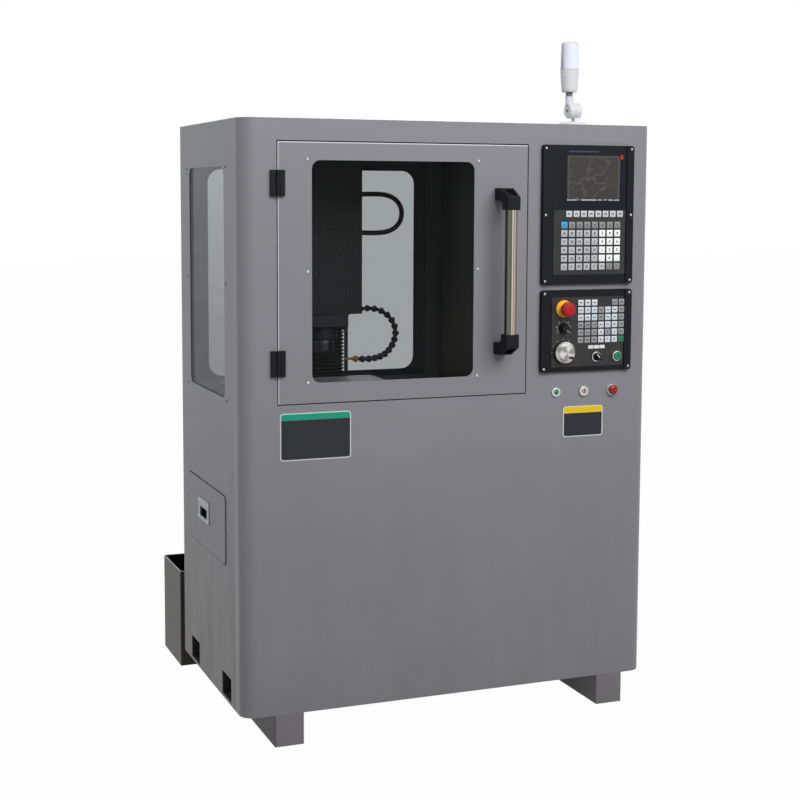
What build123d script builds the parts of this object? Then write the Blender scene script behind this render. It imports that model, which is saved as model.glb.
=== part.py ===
from build123d import *
from math import asin, cos, radians, sin, tan
import os

# Enclosed bench CNC milling machine on two foot rails, with its coolant tank behind it.
# Millimetres, +Z up, the front of the cabinet faces -Y, the origin is the centre of the
# footprint on the floor. Sketch coordinates are taken from the cabinet's own corner point:
# x from its middle, y from its front sheet towards the back, z from the floor.

# Cabinet
cabinet_width = 1250.0
cabinet_depth = 680.0
cabinet_height = 1635.0
foot_height = 90.0
corner_radius = 42.0
sheet = 2.0
wrap_depth = 70.0
half_width = cabinet_width / 2
top_z = foot_height + cabinet_height
inner_top = top_z - sheet
rear_y = cabinet_depth - sheet
partition_x = 240.0

# Foot rails and fork pockets
foot_left_x = -491.5
foot_right_x = 511.5
foot_width = 83.0
foot_wall = 5.0
fork_front_y = 169.0
fork_rear_y = 537.0
fork_width = 98.0
fork_height = 68.0
fork_z = 132.0
fork_wall = 6.0

# Door and its window
door_x = -150.0
door_z = 1309.0
door_open_width = 746.0
door_open_height = 714.0
door_gap = 3.0
door_depth = 18.0
jamb_depth = 20.0
lip_width = 16.0
door_window_x = -184.5
door_window_z = 1312.0
door_window_width = 479.0
door_window_height = 604.0
window_corner = 24.0
pane = 4.0
pane_lap = 22.0

# Side and rear windows
side_window_y = 366.0
window_z = 1277.0
side_window_width = 400.0
window_height = 642.0
rear_window_x = -198.5
rear_window_width = 685.0
rear_corner = 42.0

# Door hinges, block type with lift off leaves
hinge_x = -521.5
hinge_y = -9.0
hinge_heights = (1552.0, 1067.0)
hinge_half = 35.0
hinge_leaf = 20.0
hinge_leaf_thick = 9.0
hinge_barrel_radius = 6.0
hinge_pin_radius = 3.0
running_gap = 0.05

# Door handle
handle_x = 137.0
handle_z = 1307.0
handle_length = 470.0
handle_reach = 88.0
bracket_width = 38.0
bracket_height = 61.0
bar_radius = 17.0
bar_y = -69.0
socket_depth = 21.0

# Chip drawer in the left side
drawer_y = 382.5
drawer_z = 579.5
drawer_open_width = 439.0
drawer_open_height = 201.0
drawer_corner = 18.0
drawer_proud = 3.0
drawer_back_x = -405.0
pull_y = 408.0
pull_z = 592.0
pull_width = 126.0
pull_height = 66.0
pull_plate = 3.0
cable_hole_y = 611.0
cable_hole_z = 217.0

# Operator panels
panel_x = 411.0
panel_width = 296.0
upper_panel_z = 1466.0
upper_panel_height = 400.0
lower_panel_z = 1131.0
lower_panel_height = 238.0
bezel = 10.0
rail_rise = 4.0
left_rail = 30.0
right_rail = 24.0
film = 1.0
film_face = -(bezel + film)
key_rise = 1.2

# Round controls
left_control_x = 336.0
estop_z = 1196.0
feed_z = 1139.0
handwheel_z = 1070.0
selector_x = 444.0
start_x = 511.0
button_row_z = 1053.5
pilot_x = 319.0
key_switch_x = 409.0
power_x = 503.0
cabinet_row_z = 953.0
shaft_radius = 3.0
button_travel = 4.0

# Signal lamp on the roof
lamp_x = 404.0
lamp_stalk_x = 391.0
lamp_y = 80.0
lamp_pivot_z = 1768.0
knuckle_radius = 22.5
lamp_body_z = 1822.0
lamp_lens_z = 1885.0
lamp_top_z = 1964.0

# Mill inside the work space
mill_x = -262.0
spindle_y = 400.0
pan_z = 702.0
pan_height = 40.0
base_z = pan_z + sheet
base_top = 800.0
saddle_top = 885.0
table_top = 965.0
table_x = -320.0
table_length = 480.0
table_width = 150.0
dovetail_rise = 18.0
slide_gap = 0.2
column_front = 560.0
column_half = 95.0
column_top = 1560.0
y_screw_z = 778.0
x_screw_z = 862.0
z_screw_y = 580.0
screw_radius = 8.0
nose_z = 1050.0
head_bottom = 1130.0
slide_bottom = 1160.0
slide_top = 1420.0
cover_half = 105.0
cover_front = 335.0
cover_rear = 530.0
cover_bottom = 1168.0
cover_top = 1630.0

# Coolant
pipe_x = -141.0
pipe_y = 530.0
pipe_radius = 6.0
pipe_top = 1150.0
tank_left = -611.0
tank_width = 520.0
tank_front = 800.0
tank_rear = 1036.0
tank_height = 312.0
tank_wall = 3.0

# Place of the cabinet's front middle point in the part's frame
front_y = handle_reach - (handle_reach + tank_rear) / 2
plan_x = (drawer_proud + pull_plate) / 2

cabinet = Plane(origin=(plan_x, front_y, 0))


def front_plane(depth):
    """Upright plane facing the operator, depth behind the front sheet."""
    return Plane(origin=(plan_x, front_y + depth, 0), x_dir=(1, 0, 0), z_dir=(0, -1, 0))


def side_plane(x):
    """Upright plane across the machine, facing right."""
    return Plane(origin=(plan_x + x, front_y, 0), x_dir=(0, 1, 0), z_dir=(1, 0, 0))


def level_plane(z):
    """Level plane at height z."""
    return Plane(origin=(plan_x, front_y, z))


def place(x, y, z):
    """A point given from the cabinet's front middle, in the part's frame."""
    return (plan_x + x, front_y + y, z)


def slab(x_range, y_range, z_range, mode=Mode.ADD):
    """A rectangular block between two x, two y and two z values."""
    spans = (x_range, y_range, z_range)
    middle = tuple((low + high) / 2 for low, high in spans)
    size = tuple(high - low for low, high in spans)
    with Locations(middle):
        Box(*size, mode=mode)


def dome_middle(rim_depth, radius, apex_depth, height):
    """Middle of the arc from a dome's rim to its apex, with the arc's centre on the axis."""
    rise = apex_depth - rim_depth
    ball = (radius**2 + rise**2) / (2 * rise)
    half_turn = asin(radius / ball) / 2
    return (-apex_depth + ball * (1 - cos(half_turn)), height + ball * sin(half_turn))


# Front sheet with its rounded corners, panel openings and folded door jamb
with BuildPart(cabinet) as front_panel:
    with BuildSketch(level_plane(foot_height)):
        with Locations((0, wrap_depth / 2)):
            Rectangle(cabinet_width, wrap_depth)
        fillet(vertices().group_by(Axis.Y)[0], corner_radius)
    extrude(amount=cabinet_height - sheet)
    shell_openings = [
        front_panel.faces().sort_by(Axis.Y)[-1],
        front_panel.faces().sort_by(Axis.Z)[-1],
        front_panel.faces().sort_by(Axis.Z)[0],
    ]
    offset(amount=-sheet, openings=shell_openings)
    with BuildSketch(front_plane(-1)):
        with Locations((door_x, door_z)):
            Rectangle(door_open_width, door_open_height)
        with Locations((panel_x, upper_panel_z)):
            Rectangle(panel_width - 40, upper_panel_height - 40)
        with Locations((panel_x, lower_panel_z)):
            Rectangle(panel_width - 40, lower_panel_height - 40)
    extrude(amount=-(sheet + 2), mode=Mode.SUBTRACT)
    with BuildSketch(front_plane(sheet)):
        with Locations((door_x, door_z)):
            Rectangle(door_open_width + 2 * sheet, door_open_height + 2 * sheet)
            Rectangle(door_open_width, door_open_height, mode=Mode.SUBTRACT)
    extrude(amount=-jamb_depth)
    with BuildSketch(front_plane(jamb_depth)):
        with Locations((door_x, door_z)):
            Rectangle(door_open_width + 2 * sheet, door_open_height + 2 * sheet)
            Rectangle(door_open_width - 2 * lip_width, door_open_height - 2 * lip_width, mode=Mode.SUBTRACT)
    extrude(amount=-sheet)
front_panel.part.label = "front_panel"
export_step(front_panel.part, "parts/front_panel.step")

# Side sheets, with the fork pockets in both and the window and drawer in the left one
side_length = cabinet_depth - wrap_depth
side_middle = (wrap_depth + side_length / 2, foot_height + (cabinet_height - sheet) / 2)
with BuildPart(cabinet) as left_panel:
    with BuildSketch(side_plane(-half_width)):
        with Locations(side_middle):
            Rectangle(side_length, cabinet_height - sheet)
        with Locations((side_window_y, window_z)):
            RectangleRounded(side_window_width, window_height, window_corner, mode=Mode.SUBTRACT)
        with Locations((drawer_y, drawer_z)):
            RectangleRounded(drawer_open_width, drawer_open_height, drawer_corner, mode=Mode.SUBTRACT)
        with Locations((fork_front_y, fork_z), (fork_rear_y, fork_z)):
            Rectangle(fork_width, fork_height, mode=Mode.SUBTRACT)
        with Locations((cable_hole_y, cable_hole_z)):
            Circle(3.5, mode=Mode.SUBTRACT)
    extrude(amount=sheet)
left_panel.part.label = "left_panel"
export_step(left_panel.part, "parts/left_panel.step")

with BuildPart(cabinet) as right_panel:
    with BuildSketch(side_plane(half_width - sheet)):
        with Locations(side_middle):
            Rectangle(side_length, cabinet_height - sheet)
        with Locations((fork_front_y, fork_z), (fork_rear_y, fork_z)):
            Rectangle(fork_width, fork_height, mode=Mode.SUBTRACT)
    extrude(amount=sheet)
right_panel.part.label = "right_panel"
export_step(right_panel.part, "parts/right_panel.step")

# Rear sheet with its window opening
with BuildPart(cabinet) as rear_panel:
    with BuildSketch(front_plane(rear_y)):
        with Locations((0, side_middle[1])):
            Rectangle(cabinet_width - 2 * sheet, cabinet_height - sheet)
        with Locations((rear_window_x, window_z)):
            RectangleRounded(rear_window_width, window_height, rear_corner, mode=Mode.SUBTRACT)
    extrude(amount=-sheet)
rear_panel.part.label = "rear_panel"
export_step(rear_panel.part, "parts/rear_panel.step")

# Roof sheet with the lamp's cable hole
with BuildPart(cabinet) as top_panel:
    with BuildSketch(level_plane(inner_top)):
        with Locations((0, cabinet_depth / 2)):
            Rectangle(cabinet_width, cabinet_depth)
        fillet(vertices().group_by(Axis.Y)[0], corner_radius)
        with Locations((lamp_x, lamp_y)):
            Circle(10, mode=Mode.SUBTRACT)
    extrude(amount=sheet)
top_panel.part.label = "top_panel"
export_step(top_panel.part, "parts/top_panel.step")

# Floor sheet between the walls
with BuildPart(cabinet) as floor_tray:
    with BuildSketch(level_plane(foot_height)):
        with Locations((0, cabinet_depth / 2)):
            Rectangle(cabinet_width - 2 * sheet, cabinet_depth - 2 * sheet)
        fillet(vertices().group_by(Axis.Y)[0], corner_radius)
    extrude(amount=sheet)
floor_tray.part.label = "floor_tray"
export_step(floor_tray.part, "parts/floor_tray.step")

# Wall between the work space and the electrical side, notched for the fork tubes
with BuildPart(cabinet) as partition:
    with BuildSketch(side_plane(partition_x)):
        with Locations((cabinet_depth / 2, (foot_height + sheet + inner_top) / 2)):
            Rectangle(cabinet_depth - 2 * sheet, inner_top - foot_height - sheet)
        with Locations((fork_front_y, fork_z), (fork_rear_y, fork_z)):
            Rectangle(fork_width + 2 * fork_wall + 4, 2 * (fork_z - foot_height), mode=Mode.SUBTRACT)
    extrude(amount=sheet)
partition.part.label = "partition"
export_step(partition.part, "parts/partition.step")

# Two folded foot rails, open underneath
with BuildPart(cabinet) as foot_rails:
    with BuildSketch(level_plane(0)):
        with Locations((foot_left_x, cabinet_depth / 2), (foot_right_x, cabinet_depth / 2)):
            Rectangle(foot_width, cabinet_depth)
    extrude(amount=foot_height)
    with BuildSketch(level_plane(0)):
        with Locations((foot_left_x, cabinet_depth / 2), (foot_right_x, cabinet_depth / 2)):
            Rectangle(foot_width - 2 * foot_wall, cabinet_depth - 2 * foot_wall)
    extrude(amount=foot_height - foot_wall, mode=Mode.SUBTRACT)
foot_rails.part.label = "foot_rails"
export_step(foot_rails.part, "parts/foot_rails.step")

# Two fork tubes through the cabinet, each welded from a floor, a roof and two side plates
fork_half = (fork_width + fork_wall) / 2
fork_rise = (fork_height + fork_wall) / 2
with BuildPart(cabinet) as fork_flats:
    with BuildSketch(side_plane(-half_width + sheet)):
        for tube_y in (fork_front_y, fork_rear_y):
            with Locations((tube_y, fork_z - fork_rise), (tube_y, fork_z + fork_rise)):
                Rectangle(fork_width + 2 * fork_wall, fork_wall)
    extrude(amount=cabinet_width - 2 * sheet)
with BuildPart(cabinet) as fork_sides:
    with BuildSketch(side_plane(-half_width + sheet)):
        for tube_y in (fork_front_y, fork_rear_y):
            with Locations((tube_y - fork_half, fork_z), (tube_y + fork_half, fork_z)):
                Rectangle(fork_wall, fork_height)
    extrude(amount=cabinet_width - 2 * sheet)
fork_tubes = Compound(fork_flats.part.solids() + fork_sides.part.solids())
fork_tubes.label = "fork_tubes"
export_step(fork_tubes, "parts/fork_tubes.step")

# Welded stand: bed plate on four tube posts, with the shelf that the drawer slides on
post_side = 60.0
post_wall = 4.0
post_xs = (-350.0, -174.0)
post_bottom = fork_z + fork_height / 2 + fork_wall
bed_bottom = pan_z - 20.0
post_points = [(x, y) for x in post_xs for y in (fork_front_y, fork_rear_y)]
shelf_top = 488.0
with BuildPart(cabinet) as machine_stand:
    with BuildSketch(level_plane(post_bottom)):
        with Locations(*post_points):
            Rectangle(post_side, post_side)
    extrude(amount=bed_bottom - post_bottom)
    slab((-400, -124), (90, 674), (bed_bottom, pan_z))
    slab((-621, -320), (150, 612), (shelf_top - 4, shelf_top))
    with BuildSketch(level_plane(post_bottom)):
        with Locations(*post_points):
            Rectangle(post_side - 2 * post_wall, post_side - 2 * post_wall)
    extrude(amount=bed_bottom - post_bottom, mode=Mode.SUBTRACT)
machine_stand.part.label = "machine_stand"
export_step(machine_stand.part, "parts/machine_stand.step")

# Chip pan with upturned rim and the drop hole over the drawer
pan_left = -half_width + sheet + 2
pan_right = partition_x - 2
pan_front = sheet + 2
pan_rear = rear_y - 2
with BuildPart(cabinet) as chip_pan:
    for low, inset, mode in ((0, 0, Mode.ADD), (sheet, sheet, Mode.SUBTRACT)):
        with BuildSketch(level_plane(pan_z + low)):
            with Locations(((pan_left + pan_right) / 2, (pan_front + pan_rear) / 2)):
                Rectangle(pan_right - pan_left - 2 * inset, pan_rear - pan_front - 2 * inset)
            fillet(vertices().group_by(Axis.Y)[0].sort_by(Axis.X)[0], corner_radius)
        extrude(amount=pan_height - low, mode=mode)
    slab((-600, -430), (190, 575), (pan_z - 1, pan_z + sheet + 1), mode=Mode.SUBTRACT)
chip_pan.part.label = "chip_pan"
export_step(chip_pan.part, "parts/chip_pan.step")

# Clear panes behind the side and rear openings
with BuildPart(cabinet) as side_window:
    with BuildSketch(side_plane(-half_width + sheet)):
        with Locations((side_window_y, window_z)):
            RectangleRounded(side_window_width + 80, window_height + 40, 12)
    extrude(amount=pane)
side_window.part.label = "side_window"
export_step(side_window.part, "parts/side_window.step")

with BuildPart(cabinet) as rear_window:
    with BuildSketch(front_plane(rear_y)):
        with Locations((rear_window_x, window_z)):
            RectangleRounded(rear_window_width + 80, window_height + 40, 12)
    extrude(amount=pane)
rear_window.part.label = "rear_window"
export_step(rear_window.part, "parts/rear_window.step")

# Door, a folded tray with the window opening, and its tinted pane
door_width = door_open_width - 2 * door_gap
door_height = door_open_height - 2 * door_gap
with BuildPart(cabinet) as door_panel:
    with BuildSketch(front_plane(door_depth)):
        with Locations((door_x, door_z)):
            Rectangle(door_width, door_height)
    extrude(amount=door_depth)
    offset(amount=-sheet, openings=door_panel.faces().sort_by(Axis.Y)[-1])
    with BuildSketch(front_plane(-1)):
        with Locations((door_window_x, door_window_z)):
            RectangleRounded(door_window_width, door_window_height, window_corner)
    extrude(amount=-(sheet + 2), mode=Mode.SUBTRACT)
door_panel.part.label = "door_panel"
export_step(door_panel.part, "parts/door_panel.step")

with BuildPart(cabinet) as door_window:
    with BuildSketch(front_plane(sheet)):
        with Locations((door_window_x, door_window_z)):
            RectangleRounded(door_window_width + 2 * pane_lap, door_window_height + 2 * pane_lap, 12)
    extrude(amount=-pane)
door_window.part.label = "door_window"
export_step(door_window.part, "parts/door_window.step")

# Block hinges: each leaf carries half of the barrel, the pin is fast in the frame leaf
knuckle_clear = hinge_barrel_radius + 1.0
split_gap = 0.2
with BuildPart(cabinet) as hinge_frame_leaves:
    for height in hinge_heights:
        with BuildSketch(level_plane(height - hinge_half)):
            with Locations((hinge_x - hinge_leaf / 2, hinge_y / 2)):
                Rectangle(hinge_leaf, hinge_leaf_thick)
            with Locations((hinge_x, hinge_y)):
                Circle(hinge_barrel_radius)
                Circle(hinge_pin_radius, mode=Mode.SUBTRACT)
        extrude(amount=hinge_half - split_gap)
        with BuildSketch(level_plane(height - split_gap)):
            with Locations((hinge_x - (hinge_leaf + knuckle_clear) / 2, hinge_y / 2)):
                Rectangle(hinge_leaf - knuckle_clear, hinge_leaf_thick)
        extrude(amount=hinge_half + split_gap)
hinge_frame_leaves.part.label = "hinge_frame_leaves"
export_step(hinge_frame_leaves.part, "parts/hinge_frame_leaves.step")

with BuildPart(cabinet) as hinge_door_leaves:
    for height in hinge_heights:
        with BuildSketch(level_plane(height)):
            with Locations((hinge_x + hinge_leaf / 2 + 1, hinge_y / 2)):
                Rectangle(hinge_leaf - 2, hinge_leaf_thick)
            with Locations((hinge_x + 3, hinge_y / 2 - 1.5)):
                Rectangle(6, hinge_leaf_thick - 3)
            with Locations((hinge_x, hinge_y)):
                Circle(hinge_barrel_radius)
                Circle(hinge_pin_radius + running_gap, mode=Mode.SUBTRACT)
        extrude(amount=hinge_half)
        with BuildSketch(level_plane(height - hinge_half)):
            with Locations((hinge_x + (hinge_leaf + knuckle_clear) / 2, hinge_y / 2)):
                Rectangle(hinge_leaf - knuckle_clear, hinge_leaf_thick)
        extrude(amount=hinge_half)
hinge_door_leaves.part.label = "hinge_door_leaves"
export_step(hinge_door_leaves.part, "parts/hinge_door_leaves.step")

with BuildPart(cabinet) as hinge_pins:
    for height in hinge_heights:
        with BuildSketch(level_plane(height - hinge_half + 1)):
            with Locations((hinge_x, hinge_y)):
                Circle(hinge_pin_radius)
        extrude(amount=2 * hinge_half - 2)
hinge_pins.part.label = "hinge_pins"
export_step(hinge_pins.part, "parts/hinge_pins.step")

# Handle brackets: angled elbows, each with a sunk pocket on its slope and a socket for the bar
bracket_top = handle_z + handle_length / 2
bracket_low = bracket_top - bracket_height
with BuildPart(cabinet) as handle_brackets:
    with BuildSketch(side_plane(handle_x - bracket_width / 2)):
        with BuildLine():
            Polyline(
                (0, bracket_top),
                (-42, bracket_top),
                (-handle_reach, bracket_top - 25),
                (-handle_reach, bracket_low),
                (-50, bracket_low),
                (-50, bracket_low + 15),
                (-38, bracket_top - 34),
                (0, bracket_top - 34),
                close=True,
            )
        make_face()
    extrude(amount=bracket_width)
    long_edges = handle_brackets.edges().filter_by(Axis.X)
    fillet(long_edges.sort_by(Axis.Y)[:2] + long_edges.sort_by(Axis.Z)[-1:], 2.5)
    slope = handle_brackets.faces().filter_by(GeomType.PLANE).filter_by(
        lambda face: face.normal_at().Z > 0.5 and face.normal_at().Y < -0.2
    ).sort_by(SortBy.AREA)[-1]
    with BuildSketch(Plane(slope)):
        RectangleRounded(34, 24, 3)
    extrude(amount=-7, mode=Mode.SUBTRACT)
    with BuildSketch(level_plane(bracket_low)):
        with Locations((handle_x, bar_y)):
            Circle(bar_radius)
    extrude(amount=socket_depth, mode=Mode.SUBTRACT)
    mirror(about=level_plane(handle_z))
handle_brackets.part.label = "handle_brackets"
export_step(handle_brackets.part, "parts/handle_brackets.step")

bar_half = bracket_low + socket_depth - handle_z
with BuildPart(cabinet) as handle_bar:
    with BuildSketch(level_plane(handle_z - bar_half)):
        with Locations((handle_x, bar_y)):
            Circle(bar_radius)
            Circle(bar_radius - 1.5, mode=Mode.SUBTRACT)
    extrude(amount=2 * bar_half)
handle_bar.part.label = "handle_bar"
export_step(handle_bar.part, "parts/handle_bar.step")

# Chip drawer: front plate welded to an open box, cut for the sunk pull
drawer_face = -half_width - drawer_proud
pull_cup_width = 84.0
pull_cup_height = 46.0
pull_cup_depth = 14.0
with BuildPart(cabinet) as chip_drawer:
    with BuildSketch(side_plane(drawer_face)):
        with Locations((drawer_y, drawer_z)):
            RectangleRounded(drawer_open_width - 6, drawer_open_height - 6, drawer_corner - 3)
    extrude(amount=drawer_proud + sheet)
    chamfer(chip_drawer.faces().sort_by(Axis.X)[0].edges(), 1)
    slab((-half_width + sheet, drawer_back_x), (176, 589), (shelf_top + slide_gap, 660))
    slab(
        (-half_width + sheet, drawer_back_x - sheet),
        (176 + sheet, 589 - sheet),
        (shelf_top + slide_gap + sheet, 661),
        mode=Mode.SUBTRACT,
    )
    with BuildSketch(side_plane(drawer_face - 1)):
        with Locations((pull_y, pull_z)):
            Rectangle(pull_cup_width, pull_cup_height)
    extrude(amount=10, mode=Mode.SUBTRACT)
chip_drawer.part.label = "chip_drawer"
export_step(chip_drawer.part, "parts/chip_drawer.step")

# Sunk pull: pressed cup with a flange, a lifting lip inside and four rivet heads
with BuildPart(cabinet) as drawer_pull:
    with BuildSketch(side_plane(drawer_face)):
        with Locations((pull_y, pull_z)):
            RectangleRounded(pull_width, pull_height, 4)
    extrude(amount=-(pull_plate - 1.2))
    with BuildSketch(side_plane(drawer_face)):
        with Locations((pull_y, pull_z)):
            RectangleRounded(pull_cup_width - 0.4, pull_cup_height - 0.4, 3)
    extrude(amount=pull_cup_depth)
    with BuildSketch(side_plane(drawer_face - pull_plate)):
        with Locations((pull_y, pull_z)):
            RectangleRounded(pull_cup_width - 4, pull_cup_height - 4, 2)
    extrude(amount=pull_plate + pull_cup_depth - 1.6, mode=Mode.SUBTRACT)
    slab(
        (drawer_face - pull_plate + 1.2, drawer_face),
        (pull_y - pull_cup_width / 2 + 3, pull_y + pull_cup_width / 2 - 3),
        (pull_z + 7, pull_z + pull_cup_height / 2),
    )
    with BuildSketch(side_plane(drawer_face - pull_plate + 1.2)):
        with Locations((pull_y, pull_z)):
            with GridLocations(pull_width - 14, pull_height - 12, 2, 2):
                Circle(3)
    extrude(amount=-1.2)
drawer_pull.part.label = "drawer_pull"
export_step(drawer_pull.part, "parts/drawer_pull.step")

# Upper bezel: flat plate between two raised side rails, with the screen opening
upper_bottom = upper_panel_z - upper_panel_height / 2
upper_top = upper_panel_z + upper_panel_height / 2
panel_left = panel_x - panel_width / 2
panel_right = panel_x + panel_width / 2
screen_x = 429.5
screen_z = 1572.5
screen_width = 175.0
screen_height = 131.0
with BuildPart(cabinet) as upper_bezel:
    with BuildSketch(front_plane(0)):
        with Locations((panel_x, upper_panel_z)):
            RectangleRounded(panel_width, upper_panel_height, 9)
    extrude(amount=bezel + rail_rise)
    slab(
        (panel_left + left_rail, panel_right - right_rail),
        (-bezel - rail_rise - 1, -bezel),
        (upper_bottom - 1, upper_top + 1),
        mode=Mode.SUBTRACT,
    )
    with BuildSketch(front_plane(-bezel)):
        with Locations((screen_x, screen_z)):
            Rectangle(screen_width, screen_height)
    extrude(amount=-5, mode=Mode.SUBTRACT)
    rail_edges = upper_bezel.edges().filter_by(Axis.Z).group_by(Axis.Y)[0]
    fillet(rail_edges, 2)
upper_bezel.part.label = "upper_bezel"
export_step(upper_bezel.part, "parts/upper_bezel.step")

with BuildPart(cabinet) as display_screen:
    with BuildSketch(front_plane(-bezel + 5)):
        with Locations((screen_x, screen_z)):
            Rectangle(screen_width - 0.4, screen_height - 0.4)
    extrude(amount=2)
display_screen.part.label = "display_screen"
export_step(display_screen.part, "parts/display_screen.step")

# Upper keypad film: one row of soft keys over six rows of eight domed keys
upper_film_x = 416.5
upper_film_z = 1387.0
key_pitch = 24.7
row_pitch = 24.0
with BuildPart(cabinet) as upper_keypad:
    with BuildSketch(front_plane(-bezel)):
        with Locations((upper_film_x, upper_film_z)):
            RectangleRounded(233, 186, 3)
    extrude(amount=film)
    with BuildSketch(front_plane(film_face)):
        with Locations((419.5, 1377)):
            with GridLocations(key_pitch, row_pitch, 8, 6):
                RectangleRounded(19.5, 19, 1.5)
        with Locations((431, 1469)):
            with GridLocations(23.7, row_pitch, 8, 1):
                RectangleRounded(19, 17.8, 1.5)
    extrude(amount=key_rise)
upper_keypad.part.label = "upper_keypad"
export_step(upper_keypad.part, "parts/upper_keypad.step")

# Lower bezel, bored for the control shafts
lower_bottom = lower_panel_z - lower_panel_height / 2
lower_top = lower_panel_z + lower_panel_height / 2
with BuildPart(cabinet) as lower_bezel:
    with BuildSketch(front_plane(0)):
        with Locations((panel_x, lower_panel_z)):
            RectangleRounded(panel_width, lower_panel_height, 9)
    extrude(amount=bezel + rail_rise)
    slab(
        (panel_left + left_rail, panel_right - right_rail),
        (-bezel - rail_rise - 1, -bezel),
        (lower_bottom - 1, lower_top + 1),
        mode=Mode.SUBTRACT,
    )
    with BuildSketch(front_plane(-bezel)):
        with Locations((left_control_x, feed_z)):
            Circle(shaft_radius + running_gap)
    extrude(amount=-8, mode=Mode.SUBTRACT)
    rail_edges = lower_bezel.edges().filter_by(Axis.Z).group_by(Axis.Y)[0]
    fillet(rail_edges, 2)
lower_bezel.part.label = "lower_bezel"
export_step(lower_bezel.part, "parts/lower_bezel.step")

# Lower keypad film: seven columns and six rows, with two places free in the top row
lower_film_x = 415.5
lower_film_z = 1127.5
lower_key_pitch = 22.3
lower_row_pitch = 21.7
lower_key_left = 391.0
lower_key_top = 1212.0
lower_keys = [
    (lower_key_left + column * lower_key_pitch, lower_key_top - row * lower_row_pitch)
    for row in range(6)
    for column in range(7)
    if row > 0 or column not in (3, 4)
]
with BuildPart(cabinet) as lower_keypad:
    with BuildSketch(front_plane(-bezel)):
        with Locations((lower_film_x, lower_film_z)):
            RectangleRounded(235, 203, 3)
        with Locations((left_control_x, feed_z)):
            Circle(shaft_radius + running_gap, mode=Mode.SUBTRACT)
    extrude(amount=film)
    with BuildSketch(front_plane(film_face)):
        with Locations(*lower_keys):
            RectangleRounded(18, 17.5, 1.5)
    extrude(amount=key_rise)
lower_keypad.part.label = "lower_keypad"
export_step(lower_keypad.part, "parts/lower_keypad.step")

# Emergency stop: yellow collar with its boss, and the red mushroom head on its stem
boss_radius = 14.0
stem_radius = 9.0
with BuildPart(cabinet) as estop_collar:
    with BuildSketch(front_plane(film_face)):
        with Locations((left_control_x, estop_z)):
            Circle(25)
    extrude(amount=3)
    with BuildSketch(front_plane(film_face - 3)):
        with Locations((left_control_x, estop_z)):
            Circle(boss_radius)
    extrude(amount=10)
    with BuildSketch(front_plane(film_face - 13)):
        with Locations((left_control_x, estop_z)):
            Circle(stem_radius + running_gap)
    extrude(amount=-12, mode=Mode.SUBTRACT)
estop_collar.part.label = "estop_collar"
export_step(estop_collar.part, "parts/estop_collar.step")

with BuildPart(cabinet) as estop_head:
    with BuildSketch(side_plane(left_control_x)):
        with BuildLine():
            Polyline(
                (film_face - 7, estop_z),
                (film_face - 7, estop_z + stem_radius),
                (film_face - 19, estop_z + stem_radius),
                (film_face - 19, estop_z + 17),
                (film_face - 23, estop_z + 21),
                (film_face - 33, estop_z + 21),
            )
            RadiusArc((film_face - 33, estop_z + 21), (film_face - 37, estop_z + 17), 4)
            ThreePointArc(
                (film_face - 37, estop_z + 17),
                dome_middle(37 - film_face, 17, 39 - film_face, estop_z),
                (film_face - 39, estop_z),
            )
            Line((film_face - 39, estop_z), (film_face - 7, estop_z))
        make_face()
    revolve(axis=Axis(place(left_control_x, 0, estop_z), (0, 1, 0)))
estop_head.part.label = "estop_head"
export_step(estop_head.part, "parts/estop_head.step")

# Feed override knob: skirt, fluted grip and shaft
with BuildPart(cabinet) as feed_knob:
    with BuildSketch(front_plane(film_face - 0.4)):
        with Locations((left_control_x, feed_z)):
            Circle(16.5)
    extrude(amount=4, taper=12)
    with BuildSketch(front_plane(film_face - 4.4)):
        with Locations((left_control_x, feed_z)):
            Circle(12)
            with PolarLocations(12.6, 16):
                Circle(1.4, mode=Mode.SUBTRACT)
    extrude(amount=14)
    with BuildSketch(front_plane(film_face - 0.4)):
        with Locations((left_control_x, feed_z)):
            Circle(shaft_radius)
    extrude(amount=-8)
feed_knob.part.label = "feed_knob"
export_step(feed_knob.part, "parts/feed_knob.step")

# Handwheel: fixed ring, and the stepped dial with its finger peg
hub_radius = 6.0
with BuildPart(cabinet) as handwheel_base:
    with BuildSketch(front_plane(film_face)):
        with Locations((left_control_x, handwheel_z)):
            Circle(32.5)
    extrude(amount=6)
    with BuildSketch(front_plane(film_face - 6)):
        with Locations((left_control_x, handwheel_z)):
            Circle(hub_radius + running_gap)
    extrude(amount=-5.5, mode=Mode.SUBTRACT)
    chamfer(handwheel_base.faces().sort_by(Axis.Y)[0].edges().sort_by(SortBy.LENGTH)[-1], 2)
handwheel_base.part.label = "handwheel_base"
export_step(handwheel_base.part, "parts/handwheel_base.step")

with BuildPart(cabinet) as handwheel_dial:
    with BuildSketch(front_plane(film_face - 6.3)):
        with Locations((left_control_x, handwheel_z)):
            Circle(31)
    extrude(amount=9)
    with BuildSketch(front_plane(film_face - 15.3)):
        with Locations((left_control_x, handwheel_z)):
            Circle(24)
    extrude(amount=13)
    chamfer(handwheel_dial.faces().sort_by(Axis.Y)[0].edges(), 1.5)
    with BuildSketch(front_plane(film_face - 6.3)):
        with Locations((left_control_x, handwheel_z)):
            Circle(hub_radius)
    extrude(amount=-5)
    with BuildSketch(front_plane(film_face - 28.3)):
        with Locations((left_control_x + 11, handwheel_z - 14)):
            Circle(3.5)
    extrude(amount=6)
handwheel_dial.part.label = "handwheel_dial"
export_step(handwheel_dial.part, "parts/handwheel_dial.step")

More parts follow.
